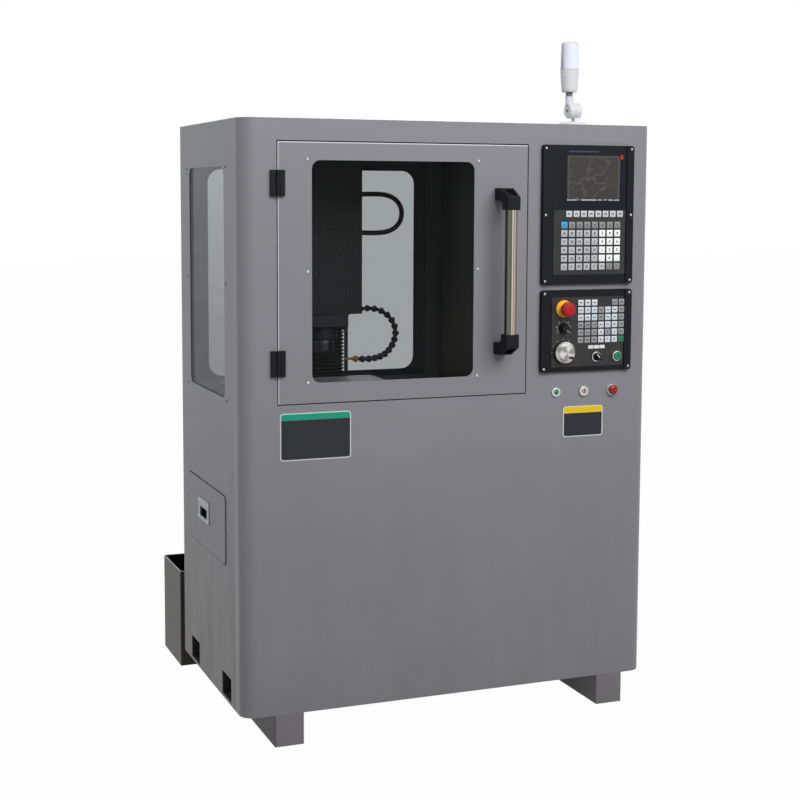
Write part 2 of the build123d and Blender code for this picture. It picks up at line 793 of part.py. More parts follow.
# Bright bezel rings of the selector, start, key, power and pilot fittings
ring_rows = (
    (selector_x, button_row_z, film_face, 14.8, 12.4, 5.0),
    (start_x, button_row_z, film_face, 14.8, 12.6, 8.0),
    (pilot_x, cabinet_row_z, 0.0, 13.8, 8.1, 6.0),
    (key_switch_x, cabinet_row_z, 0.0, 14.5, 8.1, 8.0),
    (power_x, cabinet_row_z, 0.0, 16.0, 14.1, 7.0),
)
with BuildPart(cabinet) as control_rings:
    for ring_x, ring_z, ring_y, outer, inner, rise in ring_rows:
        with BuildSketch(front_plane(ring_y)):
            with Locations((ring_x, ring_z)):
                Circle(outer)
                Circle(inner, mode=Mode.SUBTRACT)
        extrude(amount=rise)
        rim = control_rings.edges().filter_by(GeomType.CIRCLE).filter_by(
            lambda edge: abs(edge.radius - outer) < 0.01
            and abs(edge.arc_center.X - plan_x - ring_x) < 0.01
            and abs(edge.arc_center.Y - front_y - ring_y + rise) < 0.01
        )
        chamfer(rim, 1.2)
control_rings.part.label = "control_rings"
export_step(control_rings.part, "parts/control_rings.step")

# Three position selector knob with its lever and pointer
with BuildPart(cabinet) as selector_knob:
    with BuildSketch(front_plane(film_face - 0.3)):
        with Locations((selector_x, button_row_z)):
            Circle(12.3)
    extrude(amount=7)
    with BuildSketch(front_plane(film_face - 7.3)):
        with Locations((selector_x, button_row_z)):
            SlotOverall(26, 8, rotation=-50)
    extrude(amount=11)
selector_knob.part.label = "selector_knob"
export_step(selector_knob.part, "parts/selector_knob.step")

# Green start button cap
with BuildPart(cabinet) as start_button:
    with BuildSketch(front_plane(film_face - 5)):
        with Locations((start_x, button_row_z)):
            Circle(12.5)
    extrude(amount=5.5)
    chamfer(start_button.faces().sort_by(Axis.Y)[0].edges(), 0.8)
start_button.part.label = "start_button"
export_step(start_button.part, "parts/start_button.step")

# Red power button, a domed cap
with BuildPart(cabinet) as power_button:
    with BuildSketch(side_plane(power_x)):
        with BuildLine():
            Polyline(
                (-5, cabinet_row_z),
                (-5, cabinet_row_z + 14),
                (-14, cabinet_row_z + 14),
                (-16, cabinet_row_z + 12.5),
            )
            ThreePointArc(
                (-16, cabinet_row_z + 12.5),
                dome_middle(16, 12.5, 19, cabinet_row_z),
                (-19, cabinet_row_z),
            )
            Line((-19, cabinet_row_z), (-5, cabinet_row_z))
        make_face()
    revolve(axis=Axis(place(power_x, 0, cabinet_row_z), (0, 1, 0)))
power_button.part.label = "power_button"
export_step(power_button.part, "parts/power_button.step")

# Key switch barrel with its key slot
with BuildPart(cabinet) as key_barrel:
    with BuildSketch(front_plane(-0.3)):
        with Locations((key_switch_x, cabinet_row_z)):
            Circle(8)
    extrude(amount=9.5)
    with BuildSketch(front_plane(-9.8)):
        with Locations((key_switch_x, cabinet_row_z)):
            Rectangle(2.2, 10)
    extrude(amount=-5, mode=Mode.SUBTRACT)
key_barrel.part.label = "key_barrel"
export_step(key_barrel.part, "parts/key_barrel.step")

# Green pilot lens
with BuildPart(cabinet) as pilot_lens:
    with BuildSketch(side_plane(pilot_x)):
        with BuildLine():
            Polyline((0, cabinet_row_z), (0, cabinet_row_z + 8), (-6, cabinet_row_z + 8))
            ThreePointArc(
                (-6, cabinet_row_z + 8),
                dome_middle(6, 8, 10, cabinet_row_z),
                (-10, cabinet_row_z),
            )
            Line((-10, cabinet_row_z), (0, cabinet_row_z))
        make_face()
    revolve(axis=Axis(place(pilot_x, 0, cabinet_row_z), (0, 1, 0)))
pilot_lens.part.label = "pilot_lens"
export_step(pilot_lens.part, "parts/pilot_lens.step")

# Signal lamp base: domed foot, stem, right half of the knuckle and its pivot pin
knuckle_left = 385.0
knuckle_split = 404.0
knuckle_right = 423.0
pivot_radius = 5.0
with BuildPart(cabinet) as lamp_base:
    with BuildSketch(level_plane(top_z)):
        with Locations((lamp_x, lamp_y)):
            Circle(45)
    extrude(amount=4)
    with BuildSketch(level_plane(top_z + 4)):
        with Locations((lamp_x, lamp_y)):
            Circle(45)
    extrude(amount=6, taper=60)
    slab((knuckle_split + 0.6, knuckle_right), (lamp_y - 11, lamp_y + 11), (top_z + 3, lamp_pivot_z))
    with BuildSketch(side_plane(knuckle_split)):
        with Locations((lamp_y, lamp_pivot_z)):
            Circle(knuckle_radius)
    extrude(amount=knuckle_right - knuckle_split)
    fillet(lamp_base.faces().sort_by(Axis.X)[-1].edges().filter_by(GeomType.CIRCLE), 3)
    with BuildSketch(side_plane(knuckle_left + 4)):
        with Locations((lamp_y, lamp_pivot_z)):
            Circle(pivot_radius)
    extrude(amount=knuckle_split - knuckle_left - 4)
lamp_base.part.label = "lamp_base"
export_step(lamp_base.part, "parts/lamp_base.step")

# Lamp stalk and housing, folding on the pivot pin
with BuildPart(cabinet) as lamp_body:
    with BuildSketch(side_plane(knuckle_left)):
        with Locations((lamp_y, lamp_pivot_z)):
            Circle(knuckle_radius)
    extrude(amount=knuckle_split - knuckle_left - 0.3)
    chamfer(lamp_body.faces().sort_by(Axis.X)[0].edges(), 3)
    with BuildSketch(side_plane(knuckle_split)):
        with Locations((lamp_y, lamp_pivot_z)):
            Circle(pivot_radius + running_gap)
    extrude(amount=-(knuckle_split - knuckle_left - 3), mode=Mode.SUBTRACT)
    with BuildSketch(level_plane(lamp_pivot_z + knuckle_radius - 6)):
        with Locations((lamp_stalk_x + 1, lamp_y)):
            Circle(12)
    extrude(amount=24)
    with BuildSketch(level_plane(lamp_pivot_z + knuckle_radius)):
        with Locations((lamp_stalk_x, lamp_y)):
            Circle(10)
    extrude(amount=lamp_body_z - lamp_pivot_z - knuckle_radius)
    with BuildSketch(level_plane(lamp_body_z)):
        with Locations((lamp_stalk_x, lamp_y)):
            Circle(21)
    with BuildSketch(level_plane(lamp_body_z + 6)):
        with Locations((lamp_stalk_x, lamp_y)):
            Circle(23)
    with BuildSketch(level_plane(lamp_lens_z)):
        with Locations((lamp_stalk_x, lamp_y)):
            Circle(27)
    loft(ruled=True)
lamp_body.part.label = "lamp_body"
export_step(lamp_body.part, "parts/lamp_body.step")

with BuildPart(cabinet) as lamp_lens:
    with BuildSketch(level_plane(lamp_lens_z)):
        with Locations((lamp_stalk_x, lamp_y)):
            Circle(26.5)
    with BuildSketch(level_plane(lamp_top_z)):
        with Locations((lamp_stalk_x, lamp_y)):
            Circle(24.5)
    loft()
    fillet(lamp_lens.faces().sort_by(Axis.Z)[-1].edges(), 4)
lamp_lens.part.label = "lamp_lens"
export_step(lamp_lens.part, "parts/lamp_lens.step")

# Mill base: flanged casting with a lengthwise dovetail way and the slot for the Y screw
way_neck = 45.0
way_wide = 55.0
slot_half = 22.0
base_front = 190.0
base_rear = 672.0
way_end = 534.0
with BuildPart(cabinet) as mill_base:
    with BuildSketch(front_plane(base_rear)):
        with BuildLine():
            Polyline(
                (mill_x - 106, base_z),
                (mill_x + 106, base_z),
                (mill_x + 106, base_z + 18),
                (mill_x + 98, base_z + 26),
                (mill_x + 90, base_top),
                (mill_x - 90, base_top),
                (mill_x - 98, base_z + 26),
                (mill_x - 106, base_z + 18),
                close=True,
            )
        make_face()
    extrude(amount=base_rear - base_front)
    with BuildSketch(front_plane(way_end)):
        with BuildLine():
            Polyline(
                (mill_x - way_neck, base_top),
                (mill_x + way_neck, base_top),
                (mill_x + way_wide, base_top + dovetail_rise),
                (mill_x - way_wide, base_top + dovetail_rise),
                close=True,
            )
        make_face()
    extrude(amount=way_end - base_front)
    slab(
        (mill_x - slot_half, mill_x + slot_half),
        (base_front - 1, 540),
        (y_screw_z - 20, base_top + dovetail_rise + 1),
        mode=Mode.SUBTRACT,
    )
    with BuildSketch(front_plane(540)):
        with Locations((mill_x, y_screw_z)):
            Circle(screw_radius + running_gap)
    extrude(amount=-20, mode=Mode.SUBTRACT)
mill_base.part.label = "mill_base"
export_step(mill_base.part, "parts/mill_base.step")

# Saddle: dovetail groove below, crosswise way on top, and the nuts of both screws
saddle_half_y = 80.0
table_neck = 40.0
table_wide = 50.0
saddle_half_x = 100.0
nut_half = 18.0
trough_left = -412.0
trough_right = -108.0
trough_half = 28.0
trough_wall = 12.0
x_slot_half = 20.0
with BuildPart(cabinet) as saddle:
    slab(
        (mill_x - saddle_half_x, mill_x + saddle_half_x),
        (spindle_y - saddle_half_y, spindle_y + saddle_half_y),
        (base_top + slide_gap, saddle_top),
    )
    with BuildSketch(side_plane(mill_x - saddle_half_x)):
        with BuildLine():
            Polyline(
                (spindle_y - table_neck, saddle_top),
                (spindle_y + table_neck, saddle_top),
                (spindle_y + table_wide, saddle_top + dovetail_rise),
                (spindle_y - table_wide, saddle_top + dovetail_rise),
                close=True,
            )
        make_face()
    extrude(amount=2 * saddle_half_x)
    with BuildSketch(front_plane(spindle_y + saddle_half_y)):
        with BuildLine():
            Polyline(
                (mill_x - way_neck - slide_gap, base_top),
                (mill_x + way_neck + slide_gap, base_top),
                (mill_x + way_wide + slide_gap, base_top + dovetail_rise + slide_gap),
                (mill_x - way_wide - slide_gap, base_top + dovetail_rise + slide_gap),
                close=True,
            )
        make_face()
    extrude(amount=2 * saddle_half_y, mode=Mode.SUBTRACT)
    slab(
        (trough_left, trough_right),
        (spindle_y - trough_half, spindle_y + trough_half),
        (x_screw_z - 20, saddle_top - 1),
    )
    slab(
        (trough_left + trough_wall, trough_right - trough_wall),
        (spindle_y - x_slot_half, spindle_y + x_slot_half),
        (x_screw_z - 15, saddle_top + dovetail_rise + 1),
        mode=Mode.SUBTRACT,
    )
    slab(
        (mill_x - nut_half, mill_x + nut_half),
        (spindle_y - 20, spindle_y + 20),
        (y_screw_z - 16, base_top + dovetail_rise + 1),
    )
    with BuildSketch(front_plane(spindle_y + 30)):
        with Locations((mill_x, y_screw_z)):
            Circle(screw_radius + running_gap)
    extrude(amount=60, mode=Mode.SUBTRACT)
    with BuildSketch(side_plane(trough_left)):
        with Locations((spindle_y, x_screw_z)):
            Circle(screw_radius + running_gap)
    extrude(amount=trough_right - trough_left, mode=Mode.SUBTRACT)
saddle.part.label = "saddle"
export_step(saddle.part, "parts/saddle.step")

# Work table: three T slots on top, dovetail groove and feed nut below, a plate at each end
slot_offsets = (-45.0, 0.0, 45.0)
slot_neck = 12.0
slot_head = 20.0
slot_depth = 20.0
slot_head_height = 9.0
bracket_thick = 10.0
table_left = table_x - table_length / 2
table_right = table_x + table_length / 2
with BuildPart(cabinet) as work_table:
    with BuildSketch(side_plane(table_left)):
        with Locations((spindle_y, (saddle_top + slide_gap + table_top) / 2)):
            Rectangle(table_width, table_top - saddle_top - slide_gap)
        with BuildLine():
            Polyline(
                (spindle_y - table_neck - slide_gap, saddle_top),
                (spindle_y + table_neck + slide_gap, saddle_top),
                (spindle_y + table_wide + slide_gap, saddle_top + dovetail_rise + slide_gap),
                (spindle_y - table_wide - slide_gap, saddle_top + dovetail_rise + slide_gap),
                close=True,
            )
        make_face(mode=Mode.SUBTRACT)
        for offset_y in slot_offsets:
            with Locations((spindle_y + offset_y, table_top - slot_depth / 2)):
                Rectangle(slot_neck, slot_depth, mode=Mode.SUBTRACT)
            with Locations((spindle_y + offset_y, table_top - slot_depth + slot_head_height / 2)):
                Rectangle(slot_head, slot_head_height, mode=Mode.SUBTRACT)
        for edge_y in (-table_width / 2, table_width / 2):
            with Locations((spindle_y + edge_y, table_top - 34)):
                Rectangle(8, 14, mode=Mode.SUBTRACT)
    extrude(amount=table_length)
    for end_x in (table_left - bracket_thick, table_right):
        with BuildSketch(side_plane(end_x)):
            with Locations((spindle_y, 917)):
                Rectangle(84, 60)
        extrude(amount=bracket_thick)
    slab(
        (table_x - nut_half, table_x + nut_half),
        (spindle_y - nut_half, spindle_y + nut_half),
        (x_screw_z - 12, saddle_top + dovetail_rise + 3),
    )
    with BuildSketch(side_plane(table_x - nut_half)):
        with Locations((spindle_y, x_screw_z)):
            Circle(screw_radius + running_gap)
    extrude(amount=2 * nut_half, mode=Mode.SUBTRACT)
work_table.part.label = "work_table"
export_step(work_table.part, "parts/work_table.step")

# Column: box section with vertical dovetail ways, screw slot and capped top
screw_slot_rear = 612.0
with BuildPart(cabinet) as column:
    with BuildSketch(level_plane(base_top)):
        with BuildLine():
            Polyline(
                (mill_x - column_half, base_rear),
                (mill_x - column_half, column_front),
                (mill_x - way_neck, column_front),
                (mill_x - way_wide, column_front - dovetail_rise),
                (mill_x - slot_half - 2, column_front - dovetail_rise),
                (mill_x - slot_half - 2, screw_slot_rear),
                (mill_x + slot_half + 2, screw_slot_rear),
                (mill_x + slot_half + 2, column_front - dovetail_rise),
                (mill_x + way_wide, column_front - dovetail_rise),
                (mill_x + way_neck, column_front),
                (mill_x + column_half, column_front),
                (mill_x + column_half, base_rear),
                close=True,
            )
        make_face()
        fillet(vertices().group_by(Axis.Y)[-1], 14)
    extrude(amount=column_top - base_top - 10)
    with BuildSketch(level_plane(column_top - 10)):
        with Locations((mill_x, (column_front - dovetail_rise + base_rear) / 2)):
            Rectangle(2 * column_half, base_rear - column_front + dovetail_rise)
        fillet(vertices().group_by(Axis.Y)[-1], 14)
        with Locations((mill_x, z_screw_y)):
            Circle(screw_radius + running_gap, mode=Mode.SUBTRACT)
    extrude(amount=10)
column.part.label = "column"
export_step(column.part, "parts/column.step")

# Head casting: slide block with its dovetail groove and nut, and the bored spindle nose
quill_radius = 45.0
rotor_radius = 25.0
head_top = 1330.0
block_half = cover_half - sheet
with BuildPart(cabinet) as head_casting:
    with BuildSketch(level_plane(slide_bottom)):
        with Locations((mill_x, (486 + column_front) / 2 - slide_gap / 2)):
            Rectangle(2 * block_half, column_front - 486 - slide_gap)
        with BuildLine():
            Polyline(
                (mill_x - way_neck - slide_gap, column_front),
                (mill_x + way_neck + slide_gap, column_front),
                (mill_x + way_wide + slide_gap, column_front - dovetail_rise - slide_gap),
                (mill_x - way_wide - slide_gap, column_front - dovetail_rise - slide_gap),
                close=True,
            )
        make_face(mode=Mode.SUBTRACT)
    extrude(amount=slide_top - slide_bottom)
    slab((mill_x - nut_half, mill_x + nut_half), (540, 600), (1250, 1300))
    with BuildSketch(level_plane(1249)):
        with Locations((mill_x, z_screw_y)):
            Circle(screw_radius + running_gap)
    extrude(amount=52, mode=Mode.SUBTRACT)
    slab((mill_x - 62, mill_x + 62), (340, 486), (head_bottom, head_top))
    with BuildSketch(level_plane(1095)):
        with Locations((mill_x, spindle_y)):
            Circle(quill_radius)
    extrude(amount=head_bottom - 1095)
    with BuildSketch(level_plane(1094)):
        with Locations((mill_x, spindle_y)):
            Circle(rotor_radius + running_gap)
    extrude(amount=head_top - 1093, mode=Mode.SUBTRACT)
head_casting.part.label = "head_casting"
export_step(head_casting.part, "parts/head_casting.step")

# Spindle: turned shaft with flanged nose, tool taper and two drive slots
with BuildPart(cabinet) as spindle:
    with BuildSketch(side_plane(mill_x)):
        with BuildLine():
            Polyline(
                (spindle_y + 16, nose_z),
                (spindle_y + 32, nose_z),
                (spindle_y + 35, nose_z + 3),
                (spindle_y + 35, nose_z + 32),
                (spindle_y + 30, 1094.7),
                (spindle_y + rotor_radius, 1094.7),
                (spindle_y + rotor_radius, head_top - 2),
                (spindle_y, head_top - 2),
                (spindle_y, nose_z + 55),
                (spindle_y + 8, nose_z + 55),
                close=True,
            )
        make_face()
    revolve(axis=Axis(place(mill_x, spindle_y, 0), (0, 0, 1)))
    for side in (-1, 1):
        slab(
            (mill_x - 6, mill_x + 6),
            (spindle_y + side * 26 - 10, spindle_y + side * 26 + 10),
            (nose_z - 1, nose_z + 7),
            mode=Mode.SUBTRACT,
        )
spindle.part.label = "spindle"
export_step(spindle.part, "parts/spindle.step")

# Spindle motor on top of the head casting
with BuildPart(cabinet) as spindle_motor:
    with BuildSketch(level_plane(head_top)):
        with Locations((mill_x, spindle_y)):
            RectangleRounded(110, 110, 10)
    extrude(amount=12)
    with BuildSketch(level_plane(head_top + 12)):
        with Locations((mill_x, spindle_y)):
            Circle(52)
    extrude(amount=190)
    with BuildSketch(level_plane(head_top + 202)):
        with Locations((mill_x, spindle_y)):
            Circle(46)
    extrude(amount=24)
spindle_motor.part.label = "spindle_motor"
export_step(spindle_motor.part, "parts/spindle_motor.step")

# Head cover: folded box open at the back and bottom
with BuildPart(cabinet) as head_cover:
    with BuildSketch(level_plane(cover_bottom)):
        with Locations((mill_x, (cover_front + cover_rear) / 2)):
            Rectangle(2 * cover_half, cover_rear - cover_front)
        fillet(vertices().group_by(Axis.Y)[0], 6)
    extrude(amount=cover_top - cover_bottom)
    cover_openings = [
        head_cover.faces().sort_by(Axis.Y)[-1],
        head_cover.faces().sort_by(Axis.Z)[0],
    ]
    offset(amount=-sheet, openings=cover_openings)
head_cover.part.label = "head_cover"
export_step(head_cover.part, "parts/head_cover.step")

# Folding bellows over the column ways, pleated on its front and both sides
bellows_bottom = 822.0
pleat_pitch = 11.2
pleat_count = 30
pleat_depth = 8.0
bellows_half = 112.0
bellows_front = 519.0
bellows_back = 539.0


def pleat_line(inner, outer):
    """Zigzag from the lowest fold to the highest, between an inner and an outer line."""
    points = []
    for fold in range(2 * pleat_count + 1):
        side = outer if fold % 2 else inner
        points.append((side, bellows_bottom + fold * pleat_pitch / 2))
    return points


bellows_top = bellows_bottom + pleat_count * pleat_pitch
with BuildPart(cabinet) as way_bellows:
    with BuildSketch(side_plane(mill_x - bellows_half)):
        with BuildLine():
            front_folds = pleat_line(bellows_front + pleat_depth, bellows_front)
            Polyline(*front_folds, (bellows_back, bellows_top), (bellows_back, bellows_bottom), close=True)
        make_face()
    extrude(amount=2 * bellows_half)
    with BuildSketch(front_plane(bellows_back + 1)):
        with BuildLine():
            left_folds = pleat_line(mill_x - bellows_half + pleat_depth, mill_x - bellows_half)
            right_folds = pleat_line(mill_x + bellows_half - pleat_depth, mill_x + bellows_half)
            Polyline(*left_folds, *reversed(right_folds), close=True)
        make_face()
    extrude(amount=bellows_back - bellows_front + 2, mode=Mode.INTERSECT)
way_bellows.part.label = "way_bellows"
export_step(way_bellows.part, "parts/way_bellows.step")

# Feed screws
with BuildPart(cabinet) as x_screw:
    with BuildSketch(side_plane(trough_left + 0.2)):
        with Locations((spindle_y, x_screw_z)):
            Circle(screw_radius)
    extrude(amount=trough_right - trough_left - 0.4)
x_screw.part.label = "x_screw"
export_step(x_screw.part, "parts/x_screw.step")

with BuildPart(cabinet) as y_screw:
    with BuildSketch(front_plane(base_front - 1.8)):
        with Locations((mill_x, y_screw_z)):
            Circle(screw_radius)
    extrude(amount=-(558 - base_front))
y_screw.part.label = "y_screw"
export_step(y_screw.part, "parts/y_screw.step")

with BuildPart(cabinet) as z_screw:
    with BuildSketch(level_plane(base_top + 4)):
        with Locations((mill_x, z_screw_y)):
            Circle(screw_radius)
    extrude(amount=column_top - base_top - 4.2)
z_screw.part.label = "z_screw"
export_step(z_screw.part, "parts/z_screw.step")

# Axis motors: square flange, body and stepped end cap
motor_half = 32.0
with BuildPart(cabinet) as axis_motors:
    with BuildSketch(front_plane(base_front)):
        with Locations((mill_x, y_screw_z)):
            RectangleRounded(2 * motor_half + 12, 2 * motor_half + 12, 4)
            Circle(screw_radius + 2, mode=Mode.SUBTRACT)
    extrude(amount=2)
    with BuildSketch(front_plane(base_front - 2)):
        with Locations((mill_x, y_screw_z)):
            RectangleRounded(2 * motor_half, 2 * motor_half, 6)
    extrude(amount=80)
    with BuildSketch(front_plane(base_front - 82)):
        with Locations((mill_x, y_screw_z)):
            RectangleRounded(2 * motor_half - 8, 2 * motor_half - 8, 6)
    extrude(amount=22)
    with BuildSketch(level_plane(column_top)):
        with Locations((mill_x, z_screw_y)):
            RectangleRounded(2 * motor_half, 2 * motor_half, 6)
    extrude(amount=100)
    with BuildSketch(level_plane(column_top + 100)):
        with Locations((mill_x, z_screw_y)):
            RectangleRounded(2 * motor_half - 8, 2 * motor_half - 8, 6)
    extrude(amount=24)
axis_motors.part.label = "axis_motors"
export_step(axis_motors.part, "parts/axis_motors.step")

x_motor_half = 20.0
with BuildPart(cabinet) as x_motor:
    with BuildSketch(side_plane(trough_right)):
        with Locations((spindle_y, x_screw_z)):
            RectangleRounded(2 * x_motor_half, 2 * x_motor_half, 5)
    extrude(amount=70)
    with BuildSketch(side_plane(trough_right + 70)):
        with Locations((spindle_y, x_screw_z)):
            RectangleRounded(2 * x_motor_half - 8, 2 * x_motor_half - 8, 4)
    extrude(amount=16)
x_motor.part.label = "x_motor"
export_step(x_motor.part, "parts/x_motor.step")

# Route of the segmented coolant hose, and the pivots of its links one pitch apart along it
hose_start = place(pipe_x + 21, pipe_y, pipe_top + 11)
hose_end = place(-157, 400, 1026)
link_pitch = 22.5
ball_radius = 6.6
bell_radius = 10.5
with BuildLine():
    hose_curve = Spline(
        hose_start,
        place(-84, 527, 1168),
        place(-42, 513, 1165),
        place(-10, 494, 1142),
        place(2, 474, 1106),
        place(-12, 454, 1066),
        place(-46, 431, 1036),
        place(-98, 408, 1024),
        hose_end,
    )
pivots = [hose_curve @ 0]
along = 0.0
while (hose_curve @ 1 - pivots[-1]).length > link_pitch / 2:
    low = along
    high = min(1.0, along + 2 * link_pitch / hose_curve.length)
    for halving in range(30):
        middle = (low + high) / 2
        if (hose_curve @ middle - pivots[-1]).length < link_pitch:
            low = middle
        else:
            high = middle
    along = high
    pivots.append(pivots[-1] + (hose_curve @ along - pivots[-1]).normalized() * link_pitch)
turns = [(b - a).get_angle(c - b) for a, b, c in zip(pivots, pivots[1:], pivots[2:])]
print("hose links", len(pivots) - 1, "largest turn at a ball", round(max(turns), 1))

# Coolant riser beside the bellows: hexagon foot, pipe, two clips, and a top block with a ball stud
clip_heights = (850.0, 1100.0)
with BuildPart(cabinet) as coolant_pipe:
    with BuildSketch(level_plane(base_z)):
        with Locations((pipe_x, pipe_y)):
            RegularPolygon(13, 6)
    extrude(amount=18)
    with BuildSketch(level_plane(base_z)):
        with Locations((pipe_x, pipe_y)):
            Circle(pipe_radius)
    extrude(amount=pipe_top - base_z)
    for clip_z in clip_heights:
        slab((pipe_x - 5, pipe_x + 5), (pipe_y, 580), (clip_z, clip_z + 12))
        slab((mill_x + column_half, pipe_x + 5), (568, 580), (clip_z, clip_z + 12))
    with BuildSketch(level_plane(pipe_top)):
        with Locations((pipe_x + 1, pipe_y)):
            RectangleRounded(18, 20, 3)
    extrude(amount=22)
    with BuildSketch(front_plane(pipe_y)):
        with BuildLine():
            Polyline(
                (pipe_x + 5, pipe_top + 11),
                (pipe_x + 5, pipe_top + 15.4),
                (pipe_x + 16, pipe_top + 15.4),
                (pipe_x + 18.5, pipe_top + 11 + ball_radius),
                (pipe_x + 23.5, pipe_top + 11 + ball_radius),
                (pipe_x + 25.5, pipe_top + 16),
                (pipe_x + 25.5, pipe_top + 11),
                close=True,
            )
        make_face()
    revolve(axis=Axis(place(0, pipe_y, pipe_top + 11), (1, 0, 0)))
coolant_pipe.part.label = "coolant_pipe"
export_step(coolant_pipe.part, "parts/coolant_pipe.step")

# One hose link on its own axis: socket with a lip, shoulder, neck, and the ball for the next
with BuildPart() as hose_link:
    with BuildSketch(Plane.XZ):
        with BuildLine():
            Polyline(
                (0, 6.6),
                (4, 6.6),
                (7.1, 4.5),
                (7.1, -2.5),
                (9.6, -2.5),
                (bell_radius, -1),
                (bell_radius, 4.5),
                (6.3, 12),
                (5.2, 15.5),
                (4.4, link_pitch - 4.8),
                (ball_radius, link_pitch - 2.5),
                (ball_radius, link_pitch + 2.5),
                (5, link_pitch + 4.5),
                (0, link_pitch + 4.5),
                close=True,
            )
        make_face()
    revolve(axis=Axis.Z)
link_places = [Plane(origin=a, z_dir=b - a).location for a, b in zip(pivots, pivots[1:])]
link_solids = [spot * hose_link.part for spot in link_places]
with BuildPart() as coolant_hose:
    add(link_solids)
coolant_hose.part.label = "coolant_hose"
export_step(coolant_hose.part, "parts/coolant_hose.step")

# Turned nozzle: a round socket over the last ball, drawn down to a fine tip
nozzle_plane = Plane(origin=pivots[-1], z_dir=pivots[-1] - pivots[-2])
nozzle_length = 38.0
with BuildPart() as nozzle_blank:
    with BuildSketch(Plane.XZ):
        with BuildLine():
            Polyline(
                (0, 6.6),
                (4, 6.6),
                (7.1, 4.5),
                (7.1, -2.5),
                (8.6, -2.5),
                (10, -0.5),
                (10, 4),
                (8.2, 8),
                (4.2, 12),
                (2.6, nozzle_length),
                (0, nozzle_length),
                close=True,
            )
        make_face()
    revolve(axis=Axis.Z)
with BuildPart() as coolant_nozzle:
    add(nozzle_plane.location * nozzle_blank.part)
coolant_nozzle.part.label = "coolant_nozzle"
export_step(coolant_nozzle.part, "parts/coolant_nozzle.step")

# Spindle motor lead in a conduit, out of the cover's side and back in below
conduit_y = 450.0
conduit_radius = 7.5
conduit_points = [
    (mill_x + cover_half + 0.6, 1521),
    (-92, 1525),
    (-24, 1521),
    (12, 1488),
    (12, 1441),
    (-24, 1408),
    (-92, 1404),
    (mill_x + cover_half + 0.6, 1408),
]
route_points = [Vector(*place(x, conduit_y, z)) for x, z in conduit_points]
conduit_radii = []
for before, corner, after in zip(route_points, route_points[1:], route_points[2:]):
    turn = (corner - before).get_angle(after - corner)
    shorter = min((corner - before).length, (after - corner).length)
    conduit_radii.append(0.45 * shorter / tan(radians(turn / 2)))
print("conduit radii", [round(value, 1) for value in conduit_radii])
with BuildPart() as motor_conduit:
    with BuildLine():
        conduit_curve = FilletPolyline(*route_points, radius=conduit_radii)
    with BuildSketch(Plane(origin=conduit_curve @ 0, z_dir=conduit_curve % 0)):
        Circle(conduit_radius)
    sweep()
expected = 3.14159 * conduit_radius**2 * conduit_curve.length
print("conduit volume over section times length", round(motor_conduit.part.volume / expected, 4))
motor_conduit.part.label = "motor_conduit"
export_step(motor_conduit.part, "parts/motor_conduit.step")

# Open coolant tank standing behind the cabinet
with BuildPart(cabinet) as coolant_tank:
    with BuildSketch(level_plane(0)):
        with Locations((tank_left + tank_width / 2, (tank_front + tank_rear) / 2)):
            Rectangle(tank_width, tank_rear - tank_front)
    extrude(amount=tank_height)
    offset(amount=-tank_wall, openings=coolant_tank.faces().sort_by(Axis.Z)[-1])
coolant_tank.part.label = "coolant_tank"
export_step(coolant_tank.part, "parts/coolant_tank.step")
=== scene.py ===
"""Looks of the enclosed CNC milling machine: finishes, small trim, floor, lights and camera."""

from math import cos, pi, radians, sin

import bmesh
import bpy
from mathutils import Matrix, Vector


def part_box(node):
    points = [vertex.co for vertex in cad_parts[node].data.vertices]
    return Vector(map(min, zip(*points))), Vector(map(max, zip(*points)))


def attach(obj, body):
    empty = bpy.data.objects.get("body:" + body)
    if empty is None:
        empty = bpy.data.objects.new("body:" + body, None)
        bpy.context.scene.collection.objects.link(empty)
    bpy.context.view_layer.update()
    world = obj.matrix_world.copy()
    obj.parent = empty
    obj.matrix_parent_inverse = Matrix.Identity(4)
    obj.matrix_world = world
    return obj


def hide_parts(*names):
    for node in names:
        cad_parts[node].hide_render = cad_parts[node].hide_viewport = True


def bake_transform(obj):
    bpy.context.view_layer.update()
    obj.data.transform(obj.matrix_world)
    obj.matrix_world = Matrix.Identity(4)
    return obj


bl_info = {
    "name": "Milling Machine Looks",
    "version": (1, 0, 0),
    "blender": (4, 5, 0),
    "location": "View3D > Sidebar > Milling Machine",
    "description": "Finishes, trim and stage for the enclosed milling machine",
    "category": "Object",
}

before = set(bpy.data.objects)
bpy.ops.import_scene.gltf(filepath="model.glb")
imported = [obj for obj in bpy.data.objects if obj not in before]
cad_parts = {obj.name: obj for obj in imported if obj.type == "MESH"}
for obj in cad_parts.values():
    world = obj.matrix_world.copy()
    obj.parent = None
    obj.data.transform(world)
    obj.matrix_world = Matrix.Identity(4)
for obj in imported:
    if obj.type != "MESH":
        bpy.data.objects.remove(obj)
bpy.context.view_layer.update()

MM = 0.001
OUT = (0, -1, 0)
LEFT = (-1, 0, 0)
WHITE = (1.0, 1.0, 1.0, 1.0)

# The middle of the cabinet's front in the part's frame, millimetres
SHIFT_X = 3.0
SHIFT_Y = -474.0

# Faces that trim sits on, millimetres behind the front sheet's face, and less than 0 before it
KEY_FACE = -12.2
FILM_FACE = -11.0
SCREEN_FACE = -10.2
RAIL_FACE = -14.0
SEAL_DEPTH = 7
LEFT_FACE = -625

# Middles of the feed knob and the handwheel, one over the other, millimetres
DIAL_X = 336
FEED_KNOB_Z = 1139
HANDWHEEL_Z = 1070

